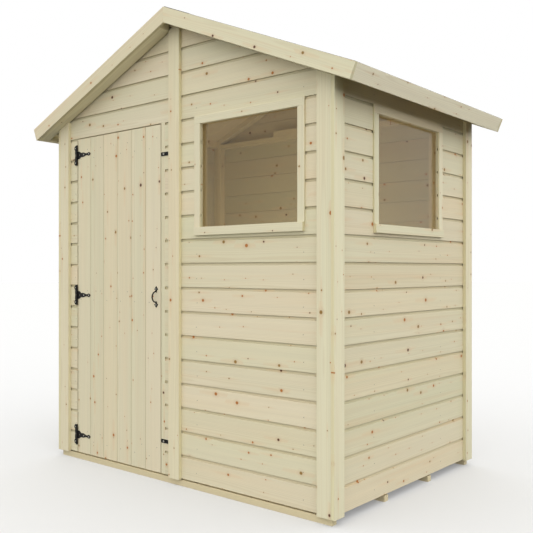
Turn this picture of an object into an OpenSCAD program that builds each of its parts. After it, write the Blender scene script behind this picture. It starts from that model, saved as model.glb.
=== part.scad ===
// Apex garden shed in softwood: boarded walls on a light frame, a ledged door on T-hinges,
// two fixed windows, and a felted roof with bargeboards.
// The origin is on the ground under the middle of the roof. The door gable faces -Y and +Z is up.

/* [Overall] */
// Width over the corner trims
shed_w = 1830; // [1700:1:2600]
// Depth over the corner trims
shed_d = 1255; // [1100:1:2400]
// Height of the roof's surface over the outer face of the side trims, above the top of the doorway
eave_rise = 133; // [110:1:400]
// Slope of the roof in degrees
roof_pitch = 22.8; // [18:0.1:26]
// How far the roof reaches past the trims at the eaves
eave_overhang = 140; // [80:1:200]
// How far the roof reaches past the trims at the gables
gable_overhang = 66; // [50:1:200]

/* [Floor] */
// Width of a bearer
bearer_w = 31; // [25:1:50]
// Height of a bearer
bearer_h = 28; // [25:1:60]
// How far the ends of a bearer stay behind the side trims
bearer_inset = 22; // [20:1:60]
// Thickness of the floor boards
deck_t = 12; // [9:1:20]
// Gap between the edge of the floor and the cladding or the door
deck_gap = 5; // [5:1:10]

/* [Walls] */
// Height that one row of cladding covers
board_cover = 112; // [100:1:124]
// Rows of cladding from the bottom of the wall to the top of the doorway
door_rows = 15; // [14:1:17]
// Thickness of the cladding
clad_t = 12; // [9:1:18]
// Gap between the bearers and the bottom of the cladding
clad_lift = 7; // [6:1:11]
// Thickness of a stud or rail, seen from the front of its wall
frame_t = 28; // [24:1:36]
// Depth of a stud or rail, measured inwards from the cladding
frame_d = 44; // [34:1:60]
// Gap between the two halves of a gable wall
panel_gap = 1; // [1:0.5:3]
// Gap between the end of the rail across the back gable and the sloping rail over it
tie_gap = 8; // [4:1:20]
// Height of the step that the back gable ties add on that rail
tie_h = 35; // [25:1:45]
// Length of the back gable ties on each side of the middle
tie_l = 360; // [200:1:500]

/* [Trims] */
// Width of a corner trim
trim_w = 70; // [50:1:75]
// Thickness of a corner trim
trim_t = 18; // [12:1:20]
// How far the trims hang below the cladding
trim_drop = 6; // [0:1:6]
// Width of the batten over the middle of a gable
batten_w = 72; // [50:1:80]

/* [Door] */
// Width of the door
door_w = 655; // [540:1:670]
// Gap between the door and its opening
door_gap = 5; // [5:1:8]
// Width of the cladding strip between the middle batten and the doorway
latch_strip = 68; // [60:1:84]
// Height of a ledge across the back of the door
ledge_h = 90; // [60:1:120]
// Thickness of a ledge
ledge_t = 20; // [16:1:26]
// Width and depth of the strips that the door shuts against
stop_s = 12; // [10:1:14]

/* [Hinges] */
// Height of the lowest hinge above the bottom of the door
hinge_low = 93; // [80:1:200]
// Distance of the top hinge from the top of the door
hinge_top_drop = 85; // [80:1:200]
// Height of the fixed plate of a hinge
plate_h = 108; // [90:1:130]
// Width of the fixed plate of a hinge
plate_w = 26; // [20:1:28]
// Thickness of the hinge metal
hinge_t = 2.5; // [2:0.1:3]
// Height of the moving knuckle and the root of the strap
root_h = 44; // [36:1:50]
// Length of a strap from its pin to its tip
strap_l = 113; // [105:1:130]
// Outer radius of the knuckles
knuckle_r = 4.5; // [4:0.1:5]
// Radius of the hinge pin
pin_r = 2.2; // [1.8:0.1:2.5]
// Play between the pin and the moving knuckle, on the radius
pin_play = 0.05; // [0.02:0.01:0.1]
// Distance of the pin in front of the face of the door
pin_stand = 6; // [5.5:0.1:8]
// Gap between one knuckle and the next
knuckle_gap = 0.5; // [0.3:0.1:1]

/* [Handle] */
// Height of the whole handle
handle_h = 105; // [95:1:140]
// Radius of the bow, from its middle to the centre of its rod
bow_r = 27; // [24:1:32]
// Radius of the rod of the bow
rod_r = 3.5; // [3:0.1:5]
// Width of a foot of the handle
foot_w = 27; // [20:1:32]
// Thickness of a foot of the handle
foot_t = 2.5; // [2:0.1:4]
// Height of the middle of the handle above the bottom of the door
handle_z = 845; // [700:1:1100]
// Distance from the middle of the handle to the edge of the door
handle_edge = 30; // [25:1:60]

/* [Turn buttons] */
// Length of a turn button from its screw to the tip by the door
button_short = 22; // [16:0.5:26]
// Length of a turn button from its screw to the tip by the batten
button_long = 38.5; // [20:0.5:39]
// Width of a turn button
button_w = 18; // [14:1:22]
// Thickness of a turn button
button_t = 5; // [4:0.5:8]
// Radius of the corners of a turn button
button_corner = 4; // [2:0.5:6]
// Gap between a turn button and the strip behind it
button_gap = 0.3; // [0.2:0.1:0.5]
// Distance of a button's tip from the edge of the doorway
button_tip = 1; // [0.5:0.1:5]
// Radius of the screw that a button turns on
screw_r = 2.5; // [2:0.1:3]
// Radius of the head of that screw
screw_head_r = 5; // [4:0.5:7]
// Height of the head of that screw
screw_head_t = 2.4; // [2:0.1:4]
// Height of the lower button above the bottom of the door
button_low = 157; // [145:1:300]
// Distance of the upper button from the top of the door
button_top_drop = 145; // [60:1:400]

/* [Windows] */
// Width of the glass that shows
pane_w = 560; // [400:1:570]
// Height of the glass that shows
pane_h = 473; // [350:1:500]
// Distance of the middle of the front window from the middle of the shed
window_x = 443; // [380:1:480]
// Width of the casing round a window
casing_w = 36; // [25:1:40]
// Thickness of the casing
casing_t = 8; // [5:1:16]
// Height of the sill under a window
sill_h = 38; // [25:1:50]
// Thickness of the sill
sill_t = 16; // [10:1:17]
// How much shorter the sill is than the casing at each end
sill_inset = 4; // [0:1:15]
// Thickness of the glass
glass_t = 3; // [2:0.5:6]
// How far the glass reaches behind the cladding
glass_lap = 12; // [8:1:12]

/* [Roof] */
// Thickness of the roofing felt
felt_t = 3; // [2:0.5:5]
// Thickness of the roof boards
roof_board_t = 10; // [8:1:15]
// Gap between the roof boards and what they lie on, and between the timbers of their frame
roof_seat = 0.1; // [0.1:0.05:0.3]
// Width of the bargeboards and fascias
barge_w = 68; // [60:1:80]
// Thickness of the bargeboards and fascias
barge_t = 16; // [12:1:20]
// Gap between the cladding of a gable and the rafter that lies in front of it
rafter_gap = 9; // [5:1:20]
// Width of the ridge board
ridge_board_w = 40; // [28:1:56]
// Height of the ridge board at its sides
ridge_board_h = 50; // [40:1:80]

/* [Hidden] */

bearer_count = 4;

wood = "#d8cfae";
wood_in = "#cbbf9a";
iron = "#1d1b19";
felt_green = "#4a4c48";
pane_tint = "#8d866f";
zinc = "#b9b9b4";
$fn = 48;
eps = 0.01;                                   // overlap of a cut past the face that it opens

// Faces of the walls, measured from the middle of the shed
half_w = shed_w / 2;
half_d = shed_d / 2;
clad_x = half_w - trim_t;                     // outer face of the side cladding
clad_y = half_d - trim_t;                     // outer face of the front and back cladding
wall_x = clad_x - clad_t;                     // inner face of the side cladding
wall_y = clad_y - clad_t;                     // inner face of the front and back cladding
room_x = wall_x - frame_d;                    // inner face of the side frames
room_y = wall_y - frame_d;                    // inner face of the front and back frames

// Levels
deck_top = bearer_h + deck_t;
clad_z = bearer_h + clad_lift;                // bottom of the cladding and the door
trim_z = clad_z - trim_drop;
head_z = clad_z + door_rows * board_cover;    // top of the doorway and of the window casings
ridge_h = head_z + eave_rise + half_w * tan(roof_pitch);

// Roof slopes: u runs down the slope from the ridge, v is the depth under the top of the felt
half_roof = half_w + eave_overhang;
slope_l = half_roof / cos(roof_pitch);
roof_y = half_d + gable_overhang;
barge_y = roof_y - barge_t;                   // inner face of the bargeboards
soffit_v = felt_t + roof_board_t;             // underside of the roof boards
seat_v = soffit_v + roof_seat;                // top of the walls, rails and trims under them
rail_v = seat_v + frame_t;                    // underside of a rail that follows the slope
barge_v = felt_t + barge_w;                   // lower edge of the bargeboards and of the rafters behind them
trim_v = barge_v + roof_seat;                 // top of the trims under those rafters
rafter_x = batten_w / 2;                      // upper end of a rafter
rafter_y = clad_y + rafter_gap;               // inner face of a rafter
function slope_pt(u, v) = [
    u * cos(roof_pitch) - v * sin(roof_pitch),
    ridge_h - u * sin(roof_pitch) - v * cos(roof_pitch)
];
function roof_z(x, v) = ridge_h - abs(x) * tan(roof_pitch) - v / cos(roof_pitch);
wall_top = roof_z(wall_x, seat_v);            // top of the side cladding's inner face

// Doorway and door
open_x1 = -(batten_w / 2 + latch_strip);
open_x0 = open_x1 - door_w - 2 * door_gap;
door_x0 = open_x0 + door_gap;
door_x1 = open_x1 - door_gap;
door_top = head_z - door_gap;
hinge_x = (open_x0 + door_x0) / 2;
hinge_y = -clad_y - pin_stand;
stop_y = wall_y - door_gap;                   // front face of the door stops, behind the door
ledge_x0 = open_x0 + stop_s + door_gap;
ledge_x1 = open_x1 - stop_s - door_gap;
hinge_low_z = clad_z + hinge_low;
hinge_high_z = door_top - hinge_top_drop;
hinge_zs = [hinge_low_z, (hinge_low_z + hinge_high_z) / 2, hinge_high_z];

// Windows
pane_top = head_z - casing_w;
pane_bottom = pane_top - pane_h;
glass_w = pane_w + 2 * glass_lap;
sill_rail_top = pane_bottom - glass_lap;
head_rail_z = pane_top + glass_lap;
post_x = glass_w / 2 + frame_t / 2;           // middle of a window post from the middle of its window

// Studs of the gable walls, by the middle of each
half_panel = panel_gap / 2;
centre_post_x = half_panel + frame_t / 2;
end_post_x = room_x - frame_t / 2;
jamb_x0 = open_x0 - frame_t / 2;
jamb_x1 = open_x1 + frame_t / 2;
post_face = half_panel + frame_t;             // face of a centre post towards its own panel
end_face = room_x - frame_t;                  // face of an end post towards the middle
tie_top = roof_z(end_face, rail_v) - tie_gap; // top of the rail across the back gable

button_x = open_x1 + button_tip + button_short;
button_low_z = clad_z + button_low;
button_high_z = door_top - button_top_drop;
handle_x = door_x1 - handle_edge;

// ---- helpers ----

// A box given by its lowest and highest corners.
module block(low, high) translate(low) cube(high - low);

// Extrudes an outline drawn in X and Z from y0 to y1.
module along_y(y0, y1) translate([0, y1, 0]) rotate([90, 0, 0]) linear_extrude(y1 - y0) children();

// A wall outline from x0 to x1 with its foot at z0 and its top at depth v under the roof.
module under_slope(x0, x1, z0, v) {
    peak = x0 < 0 && x1 > 0 ? [[0, roof_z(0, v)]] : [];
    polygon(concat([[x0, z0], [x1, z0], [x1, roof_z(x1, v)]], peak, [[x0, roof_z(x0, v)]]));
}

// A stud that stands on the floor in a gable wall, with its top at depth v under the roof.
module gable_stud(x, y0, y1, v) along_y(y0, y1) under_slope(x - frame_t / 2, x + frame_t / 2, deck_top, v);

// A level rail in a gable wall.
module gable_rail(x0, x1, y0, y1, z) block([x0, y0, z], [x1, y1, z + frame_t]);

// A rail that follows the slope in a gable wall, from x0 to x1 on the right-hand side.
module sloping_rail(x0, x1, y0, y1) along_y(y0, y1) polygon([
    [x0, roof_z(x0, rail_v)], [x1, roof_z(x1, rail_v)],
    [x1, roof_z(x1, seat_v)], [x0, roof_z(x0, seat_v)]
]);

// A strip of one roof slope between two depths, from the ridge down to u.
module slope_strip(u, v0, v1, y0, y1) along_y(y0, y1) polygon([
    [0, roof_z(0, v0)], slope_pt(u, v0), slope_pt(u, v1), [0, roof_z(0, v1)]
]);

// A bar that lies along the eave, y to each side of the middle, between two distances down the slope
// and two depths.
module eave_bar(y, u0, u1, v0, v1) along_y(-y, y) polygon([
    slope_pt(u0, v0), slope_pt(u1, v0), slope_pt(u1, v1), slope_pt(u0, v1)
]);

// Draws its children and their mirror image.
module both_sides(axis) {
    children();
    mirror(axis) children();
}

// Turns a shape drawn for the front wall, about x = 0, to the right-hand wall.
module on_right_wall() translate([half_w, 0, 0]) rotate([0, 0, 90]) translate([0, half_d, 0]) children();

// ---- floor ----

// One bearer: their middles are spread evenly from the front cladding to the back.
module floor_bearer(index) color(wood_in) {
    y = -wall_y + index * 2 * wall_y / (bearer_count - 1);
    block([-half_w + bearer_inset, y - bearer_w / 2, 0], [half_w - bearer_inset, y + bearer_w / 2, bearer_h]);
}

module floor_deck() color(wood_in)
    block([-wall_x + deck_gap, -wall_y + deck_gap, bearer_h], [wall_x - deck_gap, wall_y - deck_gap, deck_top]);

// ---- cladding ----

module front_face() along_y(-clad_y, -wall_y) children();

module hinge_side_cladding() color(wood) block([-wall_x, -clad_y, clad_z], [open_x0, -wall_y, head_z]);

module latch_side_cladding() color(wood) block([open_x1, -clad_y, clad_z], [0, -wall_y, head_z]);

module over_door_cladding() color(wood) front_face() under_slope(-wall_x, 0, head_z, seat_v);

module window_side_cladding() color(wood) difference() {
    front_face() under_slope(0, wall_x, clad_z, seat_v);
    pane_hole(window_x);
}

// The opening of a window in the front wall, with its middle at x.
module pane_hole(x)
    block([x - pane_w / 2, -clad_y - eps, pane_bottom], [x + pane_w / 2, -wall_y + eps, pane_top]);

module back_right_cladding() color(wood) along_y(wall_y, clad_y) under_slope(0, wall_x, clad_z, seat_v);

module back_left_cladding() color(wood) mirror([1, 0, 0]) back_right_cladding();

module side_face() color(wood) along_y(-clad_y, clad_y) under_slope(wall_x, clad_x, clad_z, seat_v);

module right_wall_cladding() color(wood) difference() {
    side_face();
    on_right_wall() pane_hole(0);
}

module left_wall_cladding() mirror([1, 0, 0]) side_face();

// ---- wall frames ----

module front_wall_studs() color(wood_in) {
    both_sides([1, 0, 0]) {
        gable_stud(centre_post_x, -wall_y, -room_y, seat_v);
        gable_stud(end_post_x, -wall_y, -room_y, rail_v);
    }
    for (x = [jamb_x0, jamb_x1])
        block([x - frame_t / 2, -wall_y, deck_top], [x + frame_t / 2, -room_y, head_z]);
    for (x = [window_x - post_x, window_x + post_x])
        block([x - frame_t / 2, -wall_y, deck_top], [x + frame_t / 2, -room_y, head_rail_z]);
}

// A level rail of the front wall.
module front_rail(x0, x1, z) gable_rail(x0, x1, -wall_y, -room_y, z);

module front_wall_rails() color(wood_in) {
    both_sides([1, 0, 0]) sloping_rail(post_face, room_x, -wall_y, -room_y);
    front_rail(-end_face, -post_face, head_z);
    front_rail(jamb_x1 + frame_t / 2, -post_face, deck_top);
    front_rail(post_face, end_face, head_rail_z);
    front_rail(post_face, window_x - post_x - frame_t / 2, deck_top);
    front_rail(window_x + post_x + frame_t / 2, end_face, deck_top);
    for (z = [deck_top, sill_rail_top - frame_t])
        front_rail(window_x - glass_w / 2, window_x + glass_w / 2, z);
}

module back_wall_studs() color(wood_in) both_sides([1, 0, 0]) {
    gable_stud(centre_post_x, room_y, wall_y, seat_v);
    gable_stud(end_post_x, room_y, wall_y, rail_v);
}

module back_wall_rails() color(wood_in) both_sides([1, 0, 0]) {
    sloping_rail(post_face, room_x, room_y, wall_y);
    for (z = [deck_top, tie_top - frame_t]) gable_rail(post_face, end_face, room_y, wall_y, z);
}

module back_gable_ties() color(wood_in) both_sides([1, 0, 0])
    block([post_face, room_y, tie_top], [tie_l, wall_y, tie_top + tie_h]);

// A stud of the right-hand wall with its middle at y.
module side_stud(y, top) block([room_x, y - frame_t / 2, deck_top], [wall_x, y + frame_t / 2, top]);

// A level rail of the right-hand wall.
module side_rail(y0, y1, z) block([room_x, y0, z], [wall_x, y1, z + frame_t]);

// The rail under the roof boards, with its top cut to the slope.
module side_top_rail() along_y(-wall_y, wall_y) under_slope(room_x, wall_x, wall_top - frame_t, seat_v);

side_end_y = wall_y - frame_t / 2;            // middle of the end studs of a side wall
side_top = wall_top - frame_t;                // underside of the top rail

module right_wall_studs() color(wood_in) both_sides([0, 1, 0]) {
    side_stud(side_end_y, side_top);
    side_stud(post_x, side_top);
}

module right_wall_rails() color(wood_in) {
    side_top_rail();
    both_sides([0, 1, 0]) side_rail(post_x + frame_t / 2, wall_y - frame_t, deck_top);
    for (z = [deck_top, sill_rail_top - frame_t, head_rail_z]) side_rail(-glass_w / 2, glass_w / 2, z);
}

module left_wall_studs() color(wood_in) mirror([1, 0, 0]) {
    both_sides([0, 1, 0]) side_stud(side_end_y, side_top);
    side_stud(0, side_top);
}

module left_wall_rails() color(wood_in) mirror([1, 0, 0]) {
    side_top_rail();
    both_sides([0, 1, 0]) for (z = [deck_top, (deck_top + side_top) / 2])
        side_rail(frame_t / 2, wall_y - frame_t, z);
}

// ---- trims ----

module face_trim() along_y(-half_d, -clad_y) under_slope(clad_x - trim_w, clad_x, trim_z, trim_v);

module return_trim() along_y(-half_d, -half_d + trim_w) under_slope(clad_x, half_w, trim_z, trim_v);

module gable_corner_trims() color(wood) both_sides([0, 1, 0]) both_sides([1, 0, 0]) face_trim();

module side_corner_trims() color(wood) both_sides([0, 1, 0]) both_sides([1, 0, 0]) return_trim();

module gable_battens() color(wood) both_sides([0, 1, 0])
    along_y(-half_d, -clad_y) under_slope(-batten_w / 2, batten_w / 2, trim_z, trim_v);

// ---- windows ----

// The casing of a front-wall window with its middle at x.
module casing(x) color(wood) difference() {
    reach = pane_w / 2 + casing_w;
    block([x - reach, -clad_y - casing_t, pane_bottom], [x + reach, -clad_y, head_z]);
    block([x - pane_w / 2, -clad_y - casing_t - eps, pane_bottom - eps], [x + pane_w / 2, -wall_y, pane_top]);
}

module sill(x) color(wood) {
    reach = pane_w / 2 + casing_w - sill_inset;
    block([x - reach, -clad_y - sill_t, pane_bottom - sill_h], [x + reach, -clad_y, pane_bottom]);
}

module glass(x) color(pane_tint, 0.6) block(
    [x - glass_w / 2, -wall_y, pane_bottom - glass_lap],
    [x + glass_w / 2, -wall_y + glass_t, pane_top + glass_lap]
);

module front_window_casing() casing(window_x);

module side_window_casing() on_right_wall() casing(0);

module window_sills() {
    sill(window_x);
    on_right_wall() sill(0);
}

module window_glass() {
    glass(window_x);
    on_right_wall() glass(0);
}

// ---- roof ----

module right_roof_boards() color(wood_in)
    slope_strip(slope_l - barge_t, felt_t, soffit_v, -barge_y, barge_y);

module left_roof_boards() mirror([1, 0, 0]) right_roof_boards();

module roof_felt() color(felt_green) both_sides([1, 0, 0]) slope_strip(slope_l, 0, felt_t, -roof_y, roof_y);

// A rafter behind the front right bargeboard, from beside the ridge down to the fascia.
module rafter() along_y(-barge_y, -rafter_y) polygon([
    [rafter_x, roof_z(rafter_x, barge_v)], slope_pt(slope_l - barge_t, barge_v),
    slope_pt(slope_l - barge_t, seat_v), [rafter_x, roof_z(rafter_x, seat_v)]
]);

module roof_frame() color(wood_in) {
    both_sides([1, 0, 0]) {
        eave_bar(rafter_y - roof_seat, slope_l - barge_t - frame_t, slope_l - barge_t, seat_v, rail_v);
        both_sides([0, 1, 0]) rafter();
    }
    half_ridge = ridge_board_w / 2;
    along_y(-room_y, room_y)
        under_slope(-half_ridge, half_ridge, roof_z(half_ridge, seat_v) - ridge_board_h, seat_v);
}

module right_bargeboards() color(wood) both_sides([0, 1, 0])
    slope_strip(slope_l, felt_t, barge_v, -roof_y, -barge_y);

module left_bargeboards() mirror([1, 0, 0]) right_bargeboards();

module eave_fascias() color(wood) both_sides([1, 0, 0])
    eave_bar(barge_y, slope_l - barge_t, slope_l, felt_t, barge_v);

// ---- door ----

module door_boards() color(wood) block([door_x0, -clad_y, clad_z], [door_x1, -wall_y, door_top]);

module door_ledges() color(wood_in) for (z = hinge_zs)
    block([ledge_x0, -wall_y, z - ledge_h / 2], [ledge_x1, -wall_y + ledge_t, z + ledge_h / 2]);

module door_stops() color(wood_in) {
    head_stop_z = head_z - stop_s;
    for (x = [open_x0, open_x1 - stop_s])
        block([x, -stop_y, deck_top], [x + stop_s, -stop_y + stop_s, head_stop_z - panel_gap]);
    block([open_x0, -stop_y, head_stop_z], [open_x1, -stop_y + stop_s, head_z]);
}

// ---- door furniture ----

plate_x = -door_gap / 2;                      // edge of the fixed plate, measured from the pin
tab_x = 1;                                    // how near the flat metal comes to the pin's axis
knuckle_clear = knuckle_r + 1;                // edge of the plate beside the moving knuckle
hole_r = 2.6;                                 // screw holes
root_edge = root_h / 2 - 1;
strap_half_widths = [                         // distance from the pin, half the width of the strap
    [tab_x, root_edge], [12, root_edge], [30, root_edge / 1.5], [50, root_edge / 2.1], [68, root_edge / 4]
];
neck_w = 8;
ring_r = 11;
nub_r = 7;
nub_x = strap_l - nub_r;
ring_x = nub_x - 18;

// Places a hinge part: X along the door from the pin, Y behind the pin, Z from its middle.
module at_hinge(z) translate([hinge_x, hinge_y, z]) children();

// Metal that lies flat on the wood, drawn as an outline in X and Z.
module flat_metal() along_y(pin_stand - hinge_t, pin_stand) children();

// A hole right through the flat metal.
module metal_hole(x, z, r) translate([x, pin_stand + eps, z]) rotate([90, 0, 0]) cylinder(hinge_t + 2 * eps, r = r);

module knuckle(z0, z1) translate([0, 0, z0]) cylinder(z1 - z0, r = knuckle_r);

module hinge_plate() {
    split_z = root_h / 2 + knuckle_gap;
    end_z = plate_h / 2;
    hole_x = plate_x - plate_w / 2 - 3;
    difference() {
        union() {
            flat_metal() difference() {
                translate([plate_x - plate_w, -end_z]) square([plate_w - plate_x - tab_x, plate_h]);
                translate([-knuckle_clear, -split_z]) square([knuckle_clear, 2 * split_z]);
            }
            both_sides([0, 0, 1]) knuckle(split_z, end_z - eps);
        }
        for (z = [-end_z + 10, 0, end_z - 10]) metal_hole(hole_x, z, hole_r);
    }
    translate([0, 0, -end_z - 1]) cylinder(plate_h + 2, r = pin_r);
}

module hinge_strap() {
    lower = [for (i = [len(strap_half_widths) - 1 : -1 : 0]) [strap_half_widths[i][0], -strap_half_widths[i][1]]];
    difference() {
        union() {
            flat_metal() {
                polygon(concat(strap_half_widths, lower));
                translate([50, -neck_w / 2]) square([nub_x - 50, neck_w]);
                translate([ring_x, 0]) circle(r = ring_r);
                translate([nub_x, 0]) circle(r = nub_r);
            }
            knuckle(-root_h / 2, root_h / 2);
        }
        translate([0, 0, -root_h / 2 - eps]) cylinder(root_h + 2 * eps, r = pin_r + pin_play);
        for (p = [[20, root_edge / 2], [20, -root_edge / 2], [48, 0]]) metal_hole(p[0], p[1], hole_r);
        metal_hole(ring_x, 0, 2 * hole_r);
        metal_hole(nub_x, 0, hole_r);
    }
}

module hinge_plates() color(iron) for (z = hinge_zs) at_hinge(z) hinge_plate();

module hinge_straps() color(iron) for (z = hinge_zs) at_hinge(z) hinge_strap();

// One foot of the handle, an arrowhead that points up from the end of the bow.
module handle_foot() {
    tip = handle_h / 2;
    polygon([
        [0, tip], [foot_w / 2, tip - foot_w * 0.6], [rod_r + 1, bow_r + rod_r], [rod_r, bow_r - rod_r],
        [-rod_r, bow_r - rod_r], [-rod_r - 1, bow_r + rod_r], [-foot_w / 2, tip - foot_w * 0.6]
    ]);
}

module door_handle() color(iron) translate([handle_x, -clad_y, clad_z + handle_z]) {
    both_sides([0, 0, 1]) along_y(-foot_t, 0) handle_foot();
    rotate([0, 90, 0]) rotate([0, 0, 180]) rotate_extrude(angle = 180) translate([bow_r, 0]) circle(r = rod_r);
}

// Places a turn-button part: Y is out from the face of the strip, Z from the button's middle.
module at_button(z) translate([button_x, -clad_y, z]) rotate([90, 0, 0]) children();

// The outline of a turn button, with its screw at the origin.
module button_outline() {
    low = [-button_short, -button_w / 2];
    high = [button_long, button_w / 2];
    translate([low.x, low.y + button_corner]) square([high.x - low.x, button_w - 2 * button_corner]);
    translate([low.x + button_corner, low.y]) square([high.x - low.x - 2 * button_corner, button_w]);
    for (x = [low.x + button_corner, high.x - button_corner], y = [low.y + button_corner, high.y - button_corner])
        translate([x, y]) circle(r = button_corner);
}

module turn_button() translate([0, 0, button_gap]) difference() {
    linear_extrude(button_t) button_outline();
    translate([0, 0, -eps]) cylinder(button_t + 2 * eps, r = screw_r + pin_play);
}

module button_screw() {
    shank = button_t + 2 * button_gap;
    cylinder(shank + eps, r = screw_r);
    translate([0, 0, shank]) cylinder(screw_head_t, r = screw_head_r);
}

module turn_button_top() color(iron) at_button(button_high_z) turn_button();

module turn_button_bottom() color(iron) at_button(button_low_z) turn_button();

module turn_button_screws() color(zinc) for (z = [button_low_z, button_high_z]) at_button(z) button_screw();

// ---- nodes ----

floor_bearer(0);  // floor_bearer_1
floor_bearer(1);  // floor_bearer_2
floor_bearer(2);  // floor_bearer_3
floor_bearer(3);  // floor_bearer_4
floor_deck();
hinge_side_cladding();
latch_side_cladding();
over_door_cladding();
window_side_cladding();
back_left_cladding();
back_right_cladding();
left_wall_cladding();
right_wall_cladding();
front_wall_studs();
front_wall_rails();
back_wall_studs();
back_wall_rails();
back_gable_ties();
left_wall_studs();
left_wall_rails();
right_wall_studs();
right_wall_rails();
gable_corner_trims();
side_corner_trims();
gable_battens();
front_window_casing();
side_window_casing();
window_sills();
window_glass();
left_roof_boards();
right_roof_boards();
roof_felt();
roof_frame();
left_bargeboards();
right_bargeboards();
eave_fascias();
door_boards();
door_ledges();
door_stops();
hinge_plates();
hinge_straps();
door_handle();
turn_button_top();
turn_button_bottom();
turn_button_screws();
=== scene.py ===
"""A garden shed of treated softwood, cut board by board round its packed construction.

Lengths are in metres. Every piece takes its place from the boxes of the construction's nodes.
"""

import logging
import math
import random
from collections.abc import Iterable, Mapping, Sequence
from dataclasses import dataclass, field
from enum import Enum
from typing import Any, Union

import bmesh
import bpy
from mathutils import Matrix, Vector


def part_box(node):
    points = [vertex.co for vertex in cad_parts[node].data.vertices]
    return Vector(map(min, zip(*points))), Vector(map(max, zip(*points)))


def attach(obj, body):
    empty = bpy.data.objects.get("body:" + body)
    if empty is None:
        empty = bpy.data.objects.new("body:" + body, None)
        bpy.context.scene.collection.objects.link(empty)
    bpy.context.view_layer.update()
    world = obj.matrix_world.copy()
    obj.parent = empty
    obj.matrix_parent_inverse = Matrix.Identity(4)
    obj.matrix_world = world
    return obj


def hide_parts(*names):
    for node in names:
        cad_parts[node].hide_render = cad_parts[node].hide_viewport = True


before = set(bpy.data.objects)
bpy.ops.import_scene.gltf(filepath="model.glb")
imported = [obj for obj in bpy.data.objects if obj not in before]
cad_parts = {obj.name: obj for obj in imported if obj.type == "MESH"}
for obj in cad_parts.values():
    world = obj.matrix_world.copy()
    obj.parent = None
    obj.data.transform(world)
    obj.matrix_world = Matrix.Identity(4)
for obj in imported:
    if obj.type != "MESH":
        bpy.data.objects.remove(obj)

LOG = logging.getLogger("shed")

Colour = tuple[float, float, float]
Outline = list[tuple[float, float]]

X, Y, Z = Vector((1, 0, 0)), Vector((0, 1, 0)), Vector((0, 0, 1))


class Body(Enum):
    """The parts of the shed that move as one."""

    SHELL = "shell"
    DOOR = "door"
    TOP_BUTTON = "turn_button_top"
    LOW_BUTTON = "turn_button_bottom"


class Slot(Enum):
    """The finishes that the record lists."""

    TIMBER = "timber"
    FRAME = "frame_timber"
    FELT = "roofing_felt"
    GLAZING = "glazing"
    IRON = "black_iron"
    SCREW = "plated_screw"


def srgb(red: int, green: int, blue: int) -> Colour:
    """Turn a display colour, from 0 to 255, into the linear one that shaders use."""

    def linear(channel: float) -> float:
        """Undo the display curve of one channel."""
        return channel / 12.92 if channel <= 0.04045 else ((channel + 0.055) / 1.055) ** 2.4

    return linear(red / 255), linear(green / 255), linear(blue / 255)


# ---- shader maths ----


def plug(tree: bpy.types.NodeTree, socket: bpy.types.NodeSocket, value: "Feed") -> None:
    """Give a socket its link or its plain value.

    Args:
        tree: The tree that holds the socket.
        socket: The input to fill.
        value: A wire, a number, or the components of a vector or colour.
    """
    if isinstance(value, Wire):
        tree.links.new(value.socket, socket)
    elif socket.type == "RGBA" and len(value) == 3:
        socket.default_value = (*value, 1.0)
    elif socket.type == "VECTOR" and isinstance(value, (int, float)):
        socket.default_value = (value, value, value)
    else:
        socket.default_value = value


@dataclass(frozen=True)
class Wire:
    """The output of a node, which can be used in sums: each operator adds the Math node it needs."""

    tree: bpy.types.NodeTree
    socket: bpy.types.NodeSocket

    def other(self, name: str) -> "Wire":
        """Return another output of the same node."""
        return Wire(self.tree, self.socket.node.outputs[name])

    def _sum(self, operation: str, *terms: "Feed") -> "Wire":
        """Add a Math node, or a Vector Math node where a term is a vector.

        Args:
            operation: The node's operation.
            terms: What its sockets take, in order.

        Returns:
            The result of the operation.
        """
        vector = any(
            term.socket.type in ("VECTOR", "RGBA") if isinstance(term, Wire) else isinstance(term, tuple)
            for term in terms
        )
        node = self.tree.nodes.new("ShaderNodeVectorMath" if vector else "ShaderNodeMath")
        node.operation = operation
        for socket, term in zip(node.inputs, terms):
            plug(self.tree, socket, term)
        return Wire(self.tree, node.outputs[0])

    def __add__(self, term: "Feed") -> "Wire":
        """Add a term."""
        return self._sum("ADD", self, term)

    def __radd__(self, term: "Feed") -> "Wire":
        """Add this to a term."""
        return self._sum("ADD", term, self)

    def __sub__(self, term: "Feed") -> "Wire":
        """Subtract a term."""
        return self._sum("SUBTRACT", self, term)

    def __rsub__(self, term: "Feed") -> "Wire":
        """Subtract this from a term."""
        return self._sum("SUBTRACT", term, self)

    def __mul__(self, term: "Feed") -> "Wire":
        """Multiply by a term."""
        return self._sum("MULTIPLY", self, term)

    def __rmul__(self, term: "Feed") -> "Wire":
        """Multiply a term by this."""
        return self._sum("MULTIPLY", term, self)

    def __truediv__(self, term: "Feed") -> "Wire":
        """Divide by a term."""
        return self._sum("DIVIDE", self, term)

    def __rtruediv__(self, term: "Feed") -> "Wire":
        """Divide a term by this."""
        return self._sum("DIVIDE", term, self)

    def __pow__(self, term: "Feed") -> "Wire":
        """Raise to a power."""
        return self._sum("POWER", self, term)

    def fraction(self) -> "Wire":
        """Return what is left after the whole number."""
        return self._sum("FRACT", self)

    def above(self, limit: float) -> "Wire":
        """Return 1 above a limit and 0 elsewhere."""
        return self._sum("GREATER_THAN", self, limit)


Feed = Union[Wire, float, tuple]


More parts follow.
